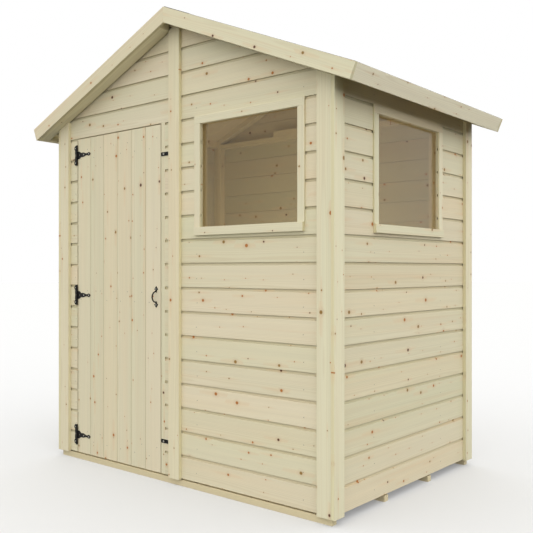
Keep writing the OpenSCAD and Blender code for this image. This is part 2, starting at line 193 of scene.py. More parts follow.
class Bench:
    """Lays out the nodes of a material or a world."""

    def __init__(self, owner: bpy.types.ID) -> None:
        """Start with an empty tree."""
        owner.use_nodes = True
        self.owner = owner
        self.tree = owner.node_tree
        self.tree.nodes.clear()

    @classmethod
    def material(cls, name: str) -> "Bench":
        """Start a new material."""
        return cls(bpy.data.materials.new(name))

    def node(self, kind: str, settings: Mapping[str, Any], sockets: Mapping[Any, Feed], output: Any = 0) -> Wire:
        """Add a node.

        Args:
            kind: The node's type.
            settings: Its settings, which are made first.
            sockets: The value or wire for each of its inputs, by name or number.
            output: The output to return.

        Returns:
            A wire from that output.
        """
        made = self.tree.nodes.new(kind)
        for name, value in settings.items():
            setattr(made, name, value)
        for name, value in sockets.items():
            plug(self.tree, made.inputs[name], value)
        return Wire(self.tree, made.outputs[output])

    def mark(self, name: str) -> Wire:
        """Read a vector that the mesh carries."""
        return self.node("ShaderNodeAttribute", {"attribute_name": name}, {}, "Vector")

    def split(self, vector: Wire) -> tuple[Wire, Wire, Wire]:
        """Take a vector or colour apart."""
        first = self.node("ShaderNodeSeparateXYZ", {}, {0: vector}, "X")
        return first, first.other("Y"), first.other("Z")

    def vector(self, x: Feed, y: Feed, z: Feed) -> Wire:
        """Put a vector together."""
        return self.node("ShaderNodeCombineXYZ", {}, {0: x, 1: y, 2: z})

    def noise(self, place: Wire, seed: Feed, detail: float = 2.0) -> Wire:
        """Return soft noise from 0 to 1, with features about one unit wide.

        Args:
            place: Where to read it.
            seed: Picks one of many patterns.
            detail: How many finer layers it has.

        Returns:
            The noise's value.
        """
        settings = {"noise_dimensions": "4D"}
        return self.node("ShaderNodeTexNoise", settings, {"Vector": place, "W": seed, "Scale": 1.0, "Detail": detail})

    def smooth(self, value: Wire, low: float, high: float) -> Wire:
        """Return 0 below low, 1 above high and a smooth step between them."""
        sockets = {"Value": value, "From Min": low, "From Max": high}
        return self.node("ShaderNodeMapRange", {"interpolation_type": "SMOOTHSTEP"}, sockets)

    def blend(self, share: Feed, first: Feed, second: Feed) -> Wire:
        """Mix two colours; share is how much of the second there is."""
        return self.node("ShaderNodeMix", {"data_type": "RGBA"}, {0: share, 6: first, 7: second}, 2)

    def scale(self, colour: Feed, amount: Wire) -> Wire:
        """Make a colour lighter or darker."""
        return self.node("ShaderNodeVectorMath", {"operation": "SCALE"}, {0: colour, "Scale": amount})

    def length(self, vector: Wire) -> Wire:
        """Return the length of a vector."""
        return self.node("ShaderNodeVectorMath", {"operation": "LENGTH"}, {0: vector}, "Value")

    def bump(self, height: Wire, depth: float, strength: float) -> Wire:
        """Turn a height from 0 to 1 into a normal."""
        return self.node("ShaderNodeBump", {}, {"Height": height, "Distance": depth, "Strength": strength})

    def mix(self, share: Feed, first: Wire, second: Wire) -> Wire:
        """Mix two shaders; share is how much of the second there is."""
        return self.node("ShaderNodeMixShader", {}, {0: share, 1: first, 2: second})

    def seen(self) -> Wire:
        """Return 1 for the rays that show a background: straight, mirrored or through glass."""
        straight = self.node("ShaderNodeLightPath", {}, {}, "Is Camera Ray")
        total = straight + straight.other("Is Glossy Ray") + straight.other("Is Transmission Ray")
        return total.above(0.5)

    def output(self, surface: Wire) -> bpy.types.ID:
        """Connect the finished shader and return the material or world."""
        world = isinstance(self.owner, bpy.types.World)
        end = self.tree.nodes.new("ShaderNodeOutputWorld" if world else "ShaderNodeOutputMaterial")
        plug(self.tree, end.inputs["Surface"], surface)
        return self.owner


# ---- finishes ----


@dataclass(frozen=True)
class Pine:
    """Planed or rough softwood: growth rings, streaks, knots and the cast of its treatment, and a darker colour with
    depth below the face, which is painted shade in the cladding's hollows and V joints.
    """

    name: str
    pale: Colour = srgb(220, 209, 181)
    green: Colour = srgb(212, 208, 175)
    rosy: Colour = srgb(221, 202, 168)
    late: Colour = srgb(196, 180, 142)
    # The colour that surfaces deeper than the face turn towards: the rough sides' own colour, and painted shade in the
    # hollows and V joints of the cladding.
    sawn_and_shade: Colour = srgb(196, 188, 140)
    stain: Colour = srgb(216, 186, 144)
    knot: Colour = srgb(170, 106, 44)
    olive_knot: Colour = srgb(142, 110, 54)
    dead_knot: Colour = srgb(88, 52, 34)
    ring: float = 0.0046
    ring_share: float = 0.26
    knot_share: float = 0.78
    warm_share: float = 0.4
    knot_cell: tuple[float, float] = (0.13, 0.08)
    sawn_and_shade_depth: tuple[float, float] = (0.001, 0.004)
    sawn_and_shade_share: float = 0.45
    saw_marks: float = 0.0

    def make(self) -> bpy.types.Material:
        """Build the material.

        Returns:
            A material that reads each board's own grain and tone.
        """
        bench = Bench.material(self.name)
        along, across, depth = bench.split(bench.mark("grain"))
        cast, pith, shade = bench.split(bench.mark("tone"))
        seed = cast * 61.0 + pith * 23.0

        def stretched(lengthwise: float, crosswise: float) -> Wire:
            """Return a place in the wood, scaled along and across the grain."""
            return bench.vector(along * lengthwise, across * crosswise, depth * crosswise)

        heart, halo, bleed, kind = self._knots(bench, along, across, cast, pith)
        wander = bench.noise(stretched(1.2, 6.0), seed) - 0.5
        arch = bench.noise(bench.vector(along * 0.9, seed, 0.0), seed) - 0.5
        side = across + (pith - 0.5) * 0.07 + wander * 0.02
        below = depth + 0.016 + shade * 0.04 + arch * 0.03
        radius = bench.length(bench.vector(side, below, 0.0)) + halo * 0.004
        turn = (radius / self.ring).fraction()
        late = bench.smooth(turn, 0.35, 0.88) * (1.0 - bench.smooth(turn, 0.9, 1.0))
        streak = bench.noise(stretched(0.9, 70.0), seed + 5.0) - 0.5
        fibre = bench.noise(stretched(5.0, 430.0), seed + 9.0) - 0.5
        patch = bench.smooth(bench.noise(stretched(0.5, 4.0), seed + 3.0), 0.35, 0.65)

        colour = bench.blend(patch * 0.4 + cast * 0.6, self.green, self.pale)
        blush = bench.smooth(bench.noise(stretched(0.8, 9.0), seed + 15.0), 0.45, 0.75)
        colour = bench.blend(bench.smooth(shade, 0.5, 1.0) * 0.35 + blush * 0.4, colour, self.rosy)
        warm = bench.smooth(bench.noise(stretched(0.35, 24.0), seed + 21.0), 0.58, 0.78)
        colour = bench.blend(warm * self.warm_share, colour, self.stain)
        # Darker towards the colour of the rough sides with depth below the face: in the cladding's hollows and V joints
        # this is painted shade.
        colour = bench.blend(bench.smooth(depth, *self.sawn_and_shade_depth) * self.sawn_and_shade_share, colour, self.sawn_and_shade)
        colour = bench.blend(late * self.ring_share, colour, self.late)
        colour = bench.scale(colour, 0.975 + pith * 0.05 + streak * 0.14 + fibre * 0.1)
        colour = bench.blend(bleed * 0.3, colour, self.stain)
        colour = bench.blend(halo * 0.12, colour, self.knot)
        live = bench.blend(kind.above(0.5), self.knot, self.olive_knot)
        colour = bench.blend(heart, colour, bench.blend(kind.above(0.84), live, self.dead_knot))

        relief = fibre + late * 0.35 - heart * 0.3 + 0.5
        if self.saw_marks:
            relief = relief + bench.noise(bench.vector(along * 420.0, across * 9.0, depth * 9.0), seed) * self.saw_marks
        sockets = {
            "Base Color": colour,
            "Roughness": 0.62 + streak * 0.12 - late * 0.06,
            "Specular IOR Level": 0.3,
            "Normal": bench.bump(relief, 0.0004, 0.35),
        }
        return bench.output(bench.node("ShaderNodeBsdfPrincipled", {}, sockets))

    def _knots(self, bench: Bench, along: Wire, across: Wire, cast: Wire, pith: Wire) -> tuple[Wire, ...]:
        """Scatter knots over a board, many small ones and a few large.

        Args:
            bench: The material's bench.
            along: Distance along the board.
            across: Distance across the board.
            cast: One of the board's random values.
            pith: Another of them.

        Returns:
            The knots themselves, the grain disturbed round them, the stain that runs from them along the
            grain, and a random value for each knot.
        """
        length, width = self.knot_cell
        place = bench.vector(along / length + pith * 17.0, across / width + cast * 13.0, 0.0)
        settings = {"voronoi_dimensions": "2D"}
        middle = bench.node("ShaderNodeTexVoronoi", settings, {"Vector": place, "Scale": 1.0}, "Position")
        size, chance, kind = bench.split(middle.other("Color"))
        offset = (place - middle) * (length / 1.1, width, 0.0)
        radius = 0.0018 + size * size * size * 0.0066
        reach = bench.length(offset) / radius
        drawn = bench.length(offset * (0.09, 1.0, 0.0)) / radius
        present = chance.above(1.0 - self.knot_share)
        heart = (1.0 - bench.smooth(reach, 0.65, 1.2)) * present
        halo = (1.0 - bench.smooth(reach, 0.8, 3.4)) * present
        bleed = (1.0 - bench.smooth(drawn, 0.4, 2.0)) * present
        return heart, halo, bleed, kind


@dataclass(frozen=True)
class MineralFelt:
    """Bitumen felt with crushed stone pressed into its face."""

    name: str = "mineral_felt"
    bitumen: Colour = srgb(38, 38, 36)
    stone: Colour = srgb(84, 88, 78)
    dust: Colour = srgb(112, 114, 104)

    def make(self) -> bpy.types.Material:
        """Build the material."""
        bench = Bench.material(self.name)
        place = bench.mark("grain")
        grit = bench.node("ShaderNodeTexVoronoi", {}, {"Vector": place, "Scale": 620.0}, "Distance")
        tint = bench.split(grit.other("Color"))[0]
        patch = bench.noise(place * 5.0, 2.0, 4.0)
        bare = bench.smooth(bench.noise(place * 90.0, 8.0, 3.0), 0.62, 0.75)
        colour = bench.blend(tint * patch * 1.3, self.stone, self.dust)
        colour = bench.blend(bench.smooth(grit, 0.35, 0.7), colour, self.bitumen)
        colour = bench.blend(bare * 0.5, colour, self.bitumen)
        sockets = {
            "Base Color": colour,
            "Roughness": 0.92 - bare * 0.2,
            "Specular IOR Level": 0.25,
            "Normal": bench.bump(1.0 - grit, 0.0008, 0.6),
        }
        return bench.output(bench.node("ShaderNodeBsdfPrincipled", {}, sockets))


@dataclass(frozen=True)
class Metal:
    """Painted or plated metal, with the slight unevenness of its coat."""

    name: str
    colour: Colour
    worn: Colour
    metallic: float
    roughness: float
    unevenness: float
    specular: float = 0.5

    def make(self) -> bpy.types.Material:
        """Build the material."""
        bench = Bench.material(self.name)
        place = bench.mark("grain")
        coat = bench.noise(place * 900.0, 1.0, 3.0)
        patch = bench.noise(place * 120.0, 4.0, 2.0)
        sockets = {
            "Base Color": bench.blend(bench.smooth(patch, 0.4, 0.75) * 0.6, self.colour, self.worn),
            "Metallic": self.metallic,
            "Specular IOR Level": self.specular,
            "Roughness": self.roughness + (patch - 0.5) * 0.2,
            "Normal": bench.bump(coat, 0.0002, self.unevenness),
        }
        return bench.output(bench.node("ShaderNodeBsdfPrincipled", {}, sockets))


@dataclass(frozen=True)
class DustyGlass:
    """Thin horticultural glass with a thin, uneven film of dust."""

    name: str = "dusty_glass"
    tint: Colour = (0.86, 0.83, 0.77)
    film: Colour = srgb(168, 150, 108)
    film_share: float = 0.04
    reflection: float = 0.03

    def make(self) -> bpy.types.Material:
        """Build the material."""
        bench = Bench.material(self.name)
        place = bench.mark("grain")
        smear = bench.noise(place * 7.0, 3.0, 4.0)
        clear = bench.node("ShaderNodeBsdfTransparent", {}, {"Color": self.tint})
        film = bench.node("ShaderNodeBsdfDiffuse", {}, {"Color": self.film})
        gloss = bench.node("ShaderNodeBsdfGlossy", {}, {"Color": (0.9, 0.9, 0.9), "Roughness": 0.04})
        body = bench.mix(self.film_share + (smear - 0.5) * 0.05, clear, film)
        facing = bench.node("ShaderNodeLayerWeight", {}, {"Blend": 0.5}, "Facing")
        mirror = self.reflection + facing**5.0 * (1.0 - self.reflection)
        return bench.output(bench.mix(mirror, body, gloss))


# ---- timber ----


@dataclass(frozen=True)
class Placement:
    """Where a shape lies: its origin, and the directions it runs, spreads and faces."""

    origin: Vector
    along: Vector
    across: Vector
    out: Vector

    def point(self, along: float, across: float, depth: float) -> Vector:
        """Return the point at those distances; depth goes in from the face."""
        return self.origin + self.along * along + self.across * across - self.out * depth

    def moved(self, along: float = 0.0, across: float = 0.0, depth: float = 0.0) -> "Placement":
        """Return the same placement from another origin."""
        return Placement(self.point(along, across, depth), self.along, self.across, self.out)

    def mirrored(self) -> bool:
        """Return whether shapes placed here come out as their mirror image."""
        return self.along.cross(self.across).dot(-self.out) < 0


class Stick:
    """One length of timber in its own coordinates: along it, across its face, and in from its face."""

    def __init__(self, outline: Outline, start: float, end: float) -> None:
        """Plane a length of timber.

        Args:
            outline: The corners of its section, as distances across it and in from its face.
            start: Where it starts.
            end: Where it ends.
        """
        self.mesh = bmesh.new()
        rings = [[self.mesh.verts.new((x, across, depth)) for across, depth in outline] for x in (start, end)]
        self.mesh.faces.new(rings[0])
        self.mesh.faces.new(rings[1])
        for i in range(len(outline)):
            self.mesh.faces.new((rings[0][i - 1], rings[0][i], rings[1][i], rings[1][i - 1]))
        bmesh.ops.recalc_face_normals(self.mesh, faces=self.mesh.faces)

    @classmethod
    def shaped(cls, mesh: bmesh.types.BMesh) -> "Stick":
        """Wrap a shape that is already in a stick's own coordinates."""
        stick = cls.__new__(cls)
        stick.mesh = mesh
        return stick

    def _slice(self, point: Sequence[float], normal: Sequence[float], clear: bool) -> list[bmesh.types.BMEdge]:
        """Cut every face along a plane.

        Args:
            point: A point of the plane.
            normal: The plane's direction.
            clear: Whether to drop what lies on the side that normal points to.

        Returns:
            The edges of the cut.
        """
        geometry = [*self.mesh.verts, *self.mesh.edges, *self.mesh.faces]
        result = bmesh.ops.bisect_plane(
            self.mesh, geom=geometry, dist=1e-7, plane_co=point, plane_no=normal, clear_outer=clear
        )
        return [part for part in result["geom_cut"] if isinstance(part, bmesh.types.BMEdge)]

    def saw(self, point: Sequence[float], waste: Sequence[float]) -> "Stick":
        """Saw the stick through and drop the side that waste points to."""
        edges = self._slice(point, waste, True)
        if edges:
            bmesh.ops.contextual_create(self.mesh, geom=edges)
        return self

    def notch(self, start: float, end: float, level: float, side: int) -> "Stick":
        """Cut a rectangular notch out of one edge.

        Args:
            start: Where the notch starts along the stick.
            end: Where it ends.
            level: How far across the stick its floor lies.
            side: 1 to cut from the floor upwards, -1 to cut downwards.

        Returns:
            The stick itself.
        """
        for point, normal in (((start, 0, 0), X), ((end, 0, 0), X), ((0, level, 0), Y)):
            self._slice(point, normal, False)

        def within(face: bmesh.types.BMFace) -> bool:
            """Return whether a face lies in the notch."""
            middle = face.calc_center_median()
            return start < middle.x < end and (middle.y - level) * side > 0

        bmesh.ops.delete(self.mesh, geom=[face for face in self.mesh.faces if within(face)], context="FACES")

        def rim(axis: int, value: float) -> list[bmesh.types.BMEdge]:
            """Return the open edges that lie in one plane."""
            return [
                edge for edge in self.mesh.edges
                if edge.is_boundary and all(abs(vert.co[axis] - value) < 1e-6 for vert in edge.verts)
            ]

        corners = []
        walls = []
        for x in (start, end):
            wall = rim(0, x)
            foot = {vert for edge in wall for vert in edge.verts if abs(vert.co.y - level) < 1e-6}
            corners.append(self.mesh.edges.new(sorted(foot, key=lambda vert: vert.co.z)))
            walls.append(wall + corners[-1:])
        walls.append(rim(1, level) + corners)
        for wall in walls:
            bmesh.ops.contextual_create(self.mesh, geom=list(dict.fromkeys(wall)))
        bmesh.ops.recalc_face_normals(self.mesh, faces=self.mesh.faces)
        return self

    def ease(self, width: float, segments: int = 2) -> "Stick":
        """Take the sharpness off every edge."""
        sharp = [
            edge for edge in self.mesh.edges
            if edge.is_manifold and edge.calc_face_angle(0.0) > math.radians(20)
        ]
        bmesh.ops.bevel(
            self.mesh, geom=sharp, offset=width, segments=segments, profile=0.5, affect="EDGES", clamp_overlap=True
        )
        return self


def bar(width: float, thickness: float) -> Outline:
    """Return the section of a plain bar, centred across."""
    half = width / 2
    return [(-half, 0.0), (half, 0.0), (half, thickness), (-half, thickness)]


class Work:
    """Gathers the shapes of one piece, each with its own grain and tone, and hands it over."""

    def __init__(self, name: str) -> None:
        """Start an empty piece."""
        self.name = name
        self.draw = random.Random(name)
        self.points: list[Vector] = []
        self.faces: list[list[int]] = []
        self.grain: list[Vector] = []
        self.tone: list[Vector] = []

    def take(self, mesh: bmesh.types.BMesh, place: Placement, start: float | None = None) -> None:
        """Add a shape and use it up.

        Args:
            mesh: The shape, in the coordinates of its placement.
            place: Where it goes.
            start: How far along its own grain the wood starts, drawn at random where it isn't given.
        """
        mesh.verts.index_update()
        base = len(self.points)
        offset = Vector((self.draw.uniform(1.0, 40.0) if start is None else start, 0.0, 0.0))
        tone = Vector([self.draw.random() for _ in range(3)])
        self.points += [place.point(*vert.co) for vert in mesh.verts]
        self.grain += [vert.co + offset for vert in mesh.verts]
        self.tone += [tone] * len(mesh.verts)
        turn = -1 if place.mirrored() else 1
        self.faces += [[base + vert.index for vert in face.verts][::turn] for face in mesh.faces]
        mesh.free()

    def stick(self, stick: Stick, place: Placement) -> None:
        """Add a length of timber."""
        self.take(stick.mesh, place)

    def hand_over(
        self, finish: bpy.types.Material, slot: Slot, nodes: Iterable[str] = (), body: Body = Body.SHELL
    ) -> None:
        """Make the piece, give it its finish and fix it to the shed.

        Args:
            finish: Its material.
            slot: The record's slot for that finish.
            nodes: The nodes of the construction that it stands for.
            body: The part of the shed that it moves with.
        """
        mesh = bpy.data.meshes.new(self.name)
        mesh.from_pydata(self.points, [], self.faces)
        for name, values in (("grain", self.grain), ("tone", self.tone)):
            layer = mesh.attributes.new(name, "FLOAT_VECTOR", "POINT")
            layer.data.foreach_set("vector", [number for value in values for number in value])
        mesh.materials.append(finish)
        mesh.shade_smooth()
        mesh.set_sharp_from_angle(angle=math.radians(20))
        piece = bpy.data.objects.new(self.name, mesh)
        bpy.context.scene.collection.objects.link(piece)
        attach(piece, body.value)
        if nodes:
            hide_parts(*nodes)
        LOG.info("%s: %d faces", self.name, len(mesh.polygons))


def packed_timbers(node: str, edge: float) -> list[tuple[Stick, Placement]]:
    """Take the timbers of a node of the construction apart and ease their edges.

    Args:
        node: The node's name.
        edge: How much to take off each edge.

    Returns:
        Each timber, with its face towards the outside of the shed, and where it lies.
    """
    whole = bmesh.new()
    whole.from_mesh(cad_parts[node].data)
    bmesh.ops.remove_doubles(whole, verts=whole.verts, dist=1e-5)
    bmesh.ops.dissolve_limit(whole, angle_limit=math.radians(1), verts=whole.verts, edges=whole.edges)
    bmesh.ops.recalc_face_normals(whole, faces=whole.faces)
    middle = Vector((0, 0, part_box("door_boards")[1].z / 2))
    left = set(whole.faces)
    timbers = []
    while left:
        faces = [left.pop()]
        for face in faces:
            for near in {other for edge_ in face.edges for other in edge_.link_faces} & left:
                left.remove(near)
                faces.append(near)
        timbers.append(_as_stick(faces, middle, edge))
    whole.free()
    return timbers


def _as_stick(faces: list[bmesh.types.BMFace], middle: Vector, edge: float) -> tuple[Stick, Placement]:
    """Turn the faces of one timber into a stick that runs along its longest edge.

    Args:
        faces: The faces of the timber.
        middle: The middle of the shed.
        edge: How much to take off each edge.

    Returns:
        The stick and where it lies.
    """
    edges = {edge_ for face in faces for edge_ in face.edges}
    verts = list({vert for face in faces for vert in face.verts})
    longest = max(edges, key=lambda edge_: round(edge_.calc_length(), 6))
    along = (longest.verts[1].co - longest.verts[0].co).normalized()
    if along.dot(Vector((1, 2, 3))) < 0:
        along.negate()
    centre = sum((vert.co for vert in verts), Vector()) / len(verts)
    flanks = [face for face in faces if abs(face.normal.dot(along)) < 0.01]
    most = max(face.calc_area() for face in flanks)
    wide = [face for face in flanks if face.calc_area() > 0.7 * most]
    out = max(wide, key=lambda face: round(face.normal.dot(centre - middle), 5)).normal.copy()
    top = max(out.dot(vert.co) for vert in verts)
    place = Placement(centre + out * (top - out.dot(centre)), along, out.cross(along), out)
    mesh = bmesh.new()
    made = {}
    for vert in verts:
        away = vert.co - place.origin
        made[vert] = mesh.verts.new((away.dot(along), away.dot(place.across), -away.dot(out)))
    for face in faces:
        mesh.faces.new([made[vert] for vert in face.verts])
    bmesh.ops.recalc_face_normals(mesh, faces=mesh.faces)
    return Stick.shaped(mesh).ease(edge), place


# ---- metalwork shapes ----


def ring_points(radius: float, count: int, x: float = 0.0, y: float = 0.0) -> Outline:
    """Return points round a circle."""
    turns = [2 * math.pi * i / count for i in range(count)]
    return [(x + radius * math.cos(turn), y + radius * math.sin(turn)) for turn in turns]


def lathe(profile: Outline, segments: int = 24) -> bmesh.types.BMesh:
    """Turn a shape about its axis.

    Args:
        profile: Radius and height of each step; the height goes out from the face it stands on.
        segments: How many sides it has.

    Returns:
        The shape, with its axis along the depth.
    """
    mesh = bmesh.new()
    rings = [
        [mesh.verts.new((x, y, -height)) for x, y in ring_points(radius, segments)] for radius, height in profile
    ]
    for low, high in zip(rings, rings[1:]):
        for i in range(segments):
            mesh.faces.new((low[i - 1], low[i], high[i], high[i - 1]))
    mesh.faces.new(rings[0])
    mesh.faces.new(rings[-1])
    bmesh.ops.recalc_face_normals(mesh, faces=mesh.faces)
    return mesh


def stamped(
    outer: Outline, holes: Sequence[Outline], thickness: float, edge: float, curved: bool = False
) -> bmesh.types.BMesh:
    """Stamp a shape out of sheet metal, with rounded edges.

    Args:
        outer: The points of its outline.
        holes: The outline of each hole.
        thickness: The thickness of the metal.
        edge: The radius of its edges.
        curved: Whether the outer outline runs smoothly through its points.

    Returns:
        The shape, with its back at depth 0.
    """
    curve = bpy.data.curves.new("stamped", "CURVE")
    curve.dimensions = "2D"
    curve.fill_mode = "BOTH"
    curve.resolution_u = 5
    curve.extrude = thickness / 2 - edge
    curve.bevel_depth = edge
    curve.bevel_resolution = 1
    curve.offset = -edge
    for number, points in enumerate((outer, *holes)):
        spline = curve.splines.new("BEZIER")
        spline.bezier_points.add(len(points) - 1)
        spline.use_cyclic_u = True
        handle = "AUTO" if curved and number == 0 else "VECTOR"
        for knot, (x, y) in zip(spline.bezier_points, points):
            knot.co = (x, y, 0)
            knot.handle_left_type = knot.handle_right_type = handle
    holder = bpy.data.objects.new("stamped", curve)
    bpy.context.scene.collection.objects.link(holder)
    flat = bpy.data.meshes.new_from_object(holder)
    mesh = bmesh.new()
    mesh.from_mesh(flat)
    bpy.data.objects.remove(holder)
    bpy.data.curves.remove(curve)
    bpy.data.meshes.remove(flat)
    bmesh.ops.remove_doubles(mesh, verts=mesh.verts, dist=1e-6)
    for vert in mesh.verts:
        vert.co.z = -(vert.co.z + thickness / 2)
    bmesh.ops.recalc_face_normals(mesh, faces=mesh.faces)
    return mesh


def swept(path: Sequence[Vector], radii: Sequence[float], segments: int = 14) -> bmesh.types.BMesh:
    """Draw a rod along a path that lies in the plane of its first and last coordinates.

    Args:
        path: The points of its centreline.
        radii: Its radius at each of them.
        segments: How many sides it has.

    Returns:
        The rod, closed at both ends.
    """
    mesh = bmesh.new()
    rings = []
    for i, (point, radius) in enumerate(zip(path, radii)):
        tangent = (path[min(i + 1, len(path) - 1)] - path[max(i - 1, 0)]).normalized()
        normal = tangent.cross(Y).normalized()
        rings.append([mesh.verts.new(point + normal * x + Y * y) for x, y in ring_points(radius, segments)])
    for low, high in zip(rings, rings[1:]):
        for i in range(segments):
            mesh.faces.new((low[i - 1], low[i], high[i], high[i - 1]))
    mesh.faces.new(rings[0])
    mesh.faces.new(rings[-1])
    bmesh.ops.recalc_face_normals(mesh, faces=mesh.faces)
    return mesh


@dataclass(frozen=True)
class CrossScrew:
    """The domed head of a screw with a cross recess."""

    radius: float = 0.0036
    height: float = 0.0018

    def add_to(self, work: Work, place: Placement) -> None:
        """Drive the screw.

        Args:
            work: The piece that the head is part of.
            place: Where it is, with its face looking out.
        """
        arm = self.radius * 0.55
        half = self.radius * 0.14
        corners = [(half, half), (half, arm), (-half, arm), (-half, half)]
        cross = [
            (x * math.cos(turn) - y * math.sin(turn), x * math.sin(turn) + y * math.cos(turn))
            for turn in (0.0, math.pi / 2, math.pi, 3 * math.pi / 2) for x, y in corners[:3]
        ]
        head = stamped(ring_points(self.radius, 20), [cross], self.height, self.height * 0.42)
        work.take(head, place)
        work.take(lathe([(self.radius * 0.8, -0.0002), (self.radius * 0.8, self.height * 0.3)], 16), place)


@dataclass(frozen=True)
class Nail:
    """The head of a nail, driven almost flush."""

    radius: float = 0.0019
    height: float = 0.0004

    def add_to(self, work: Work, place: Placement) -> None:
        """Drive the nail."""
        profile = [(self.radius, -0.0006), (self.radius, self.height * 0.5), (self.radius * 0.6, self.height)]
        work.take(lathe(profile, 10), place)


# ---- the shed ----


@dataclass(frozen=True)
class Finishes:
    """The materials of the shed."""

    cladding: bpy.types.Material
    trim: bpy.types.Material
    inside: bpy.types.Material
    # A lighter copy of the pine, for the roof frame and eave fascias: painted light against their shade under the roof.
    verge: bpy.types.Material
    felt: bpy.types.Material
    iron: bpy.types.Material
    screw: bpy.types.Material
    nail: bpy.types.Material
    glass: bpy.types.Material

    @classmethod
    def made(cls) -> "Finishes":
        """Mix every finish once."""
        return cls(
            # The cladding's dark side colour, reached within 1.6 mm of the face, is painted shade in the shiplap
            # hollows and the door's V joints.
            cladding=Pine("cladding_pine", sawn_and_shade=srgb(150, 140, 100), sawn_and_shade_depth=(0.0003, 0.0016), sawn_and_shade_share=0.4).make(),
            trim=Pine("trim_pine", pale=srgb(224, 216, 186), sawn_and_shade=srgb(212, 204, 156), ring=0.0052, ring_share=0.22).make(),
            inside=Pine(
                "sawn_pine", pale=srgb(216, 200, 164), green=srgb(208, 197, 158), ring_share=0.36, saw_marks=0.8,
                sawn_and_shade_share=0.12,
            ).make(),
            # Lighter than the other pines: painted light that lifts the shade on the roof frame and eave fascias under
            # the verge and eaves.
            verge=Pine(
                "lightened_verge_pine", pale=srgb(238, 230, 202), green=srgb(234, 228, 198), rosy=srgb(236, 222, 194),
                sawn_and_shade=srgb(232, 224, 178), ring=0.0052, ring_share=0.2,
            ).make(),
            felt=MineralFelt().make(),
            iron=Metal("black_iron", srgb(14, 13, 12), srgb(30, 27, 24), 0.0, 0.5, 0.25, 0.2).make(),
            screw=Metal("plated_screw", srgb(196, 194, 184), srgb(170, 166, 150), 1.0, 0.34, 0.1).make(),
            nail=Metal("nail_steel", srgb(140, 134, 118), srgb(110, 98, 80), 1.0, 0.5, 0.1).make(),
            glass=DustyGlass().make(),
        )


@dataclass(frozen=True)
class Roofline:
    """The slope that the tops of the walls are cut to, read from the construction."""

    peak: float
    fall: float

    @classmethod
    def measured(cls) -> "Roofline":
        """Work the slope out from the walls."""
        side_low, side_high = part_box("right_wall_cladding")
        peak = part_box("back_right_cladding")[1].z
        return cls(peak, (peak - side_high.z) / side_low.x)

    @property
    def pitch(self) -> float:
        """Return the slope as an angle."""
        return math.atan(self.fall)


@dataclass(frozen=True)
class Shiplap:
    """Horizontal cladding: each row laps over the tongue of the one below, above a hollow."""

    cover: float = 0.112
    thickness: float = 0.012
    hollow: float = 0.013
    sink: float = 0.006
    fillet: float = 0.004
    tongue: float = 0.0056
    lap: float = 0.0074
    slack: float = 0.0003
    edge: float = 0.0006
    hollow_steps: int = 5

    def outline(self) -> Outline:
        """Return the section of one row, from its lower edge up."""
        top = self.cover - self.hollow
        back = self.sink - self.slack
        points = [(self.edge, 0.0)]
        for step in range(self.hollow_steps + 1):
            turn = math.pi / 2 * step / self.hollow_steps
            points.append((top + self.fillet * (1 - math.cos(turn)), self.sink * math.sin(turn)))
        points += [
            (self.cover + self.tongue, self.sink),
            (self.cover + self.tongue, self.thickness),
            (self.lap, self.thickness),
            (self.lap, back),
            (0.0, back),
            (0.0, self.edge),
        ]
        return points

    def rows(self, low: float, high: float) -> list[float]:
        """Return the level of the lower edge of each row between two levels."""
        return [low + self.cover * i for i in range(math.ceil((high - low) / self.cover - 0.01))]


@dataclass(frozen=True)
class MatchBoard:
    """Tongued and grooved boards with a small V between them on the face."""

    thickness: float
    vee: float = 0.0012
    gap: float = 0.0006
    tongue: float = 0.0042

    def outline(self, width: float, first: bool, last: bool) -> Outline:
        """Return the section of one board.

        Args:
            width: The width it covers.
            first: Whether nothing comes before it, so that it has no groove.
            last: Whether nothing comes after it, so that it has no tongue.

        Returns:
            The section, from the groove to the tongue.
        """
        half = self.gap / 2
        mid_low, mid_high = self.thickness * 0.36, self.thickness * 0.64
        left, right = (0.0 if first else half), (width if last else width - half)
        points = [(left, self.vee), (left + self.vee, 0.0), (right - self.vee, 0.0), (right, self.vee)]
        if not last:
            reach = right + self.tongue
            points += [(right, mid_low + 0.0002), (reach, mid_low + 0.0002)]
            points += [(reach, mid_high - 0.0002), (right, mid_high - 0.0002)]
        points += [(right, self.thickness), (left, self.thickness)]
        if not first:
            reach = left + self.tongue + 0.0006
            points += [(left, mid_high), (reach, mid_high), (reach, mid_low), (left, mid_low)]
        return points

    def lay(self, work: Work, place: Placement, spread: float, length: float, count: int) -> None:
        """Lay boards side by side.

        Args:
            work: The piece that they are part of.
            place: The corner where the first board starts.
            spread: How far they reach together.
            length: How long each is.
            count: How many there are.
        """
        width = spread / count
        for i in range(count):
            outline = self.outline(width, i == 0, i == count - 1)
            work.stick(Stick(outline, 0.0, length), place.moved(across=i * width))


@dataclass
class Opening:
    """A window's hole in a wall, along the wall and by its levels."""

    start: float
    end: float
    low: float
    high: float


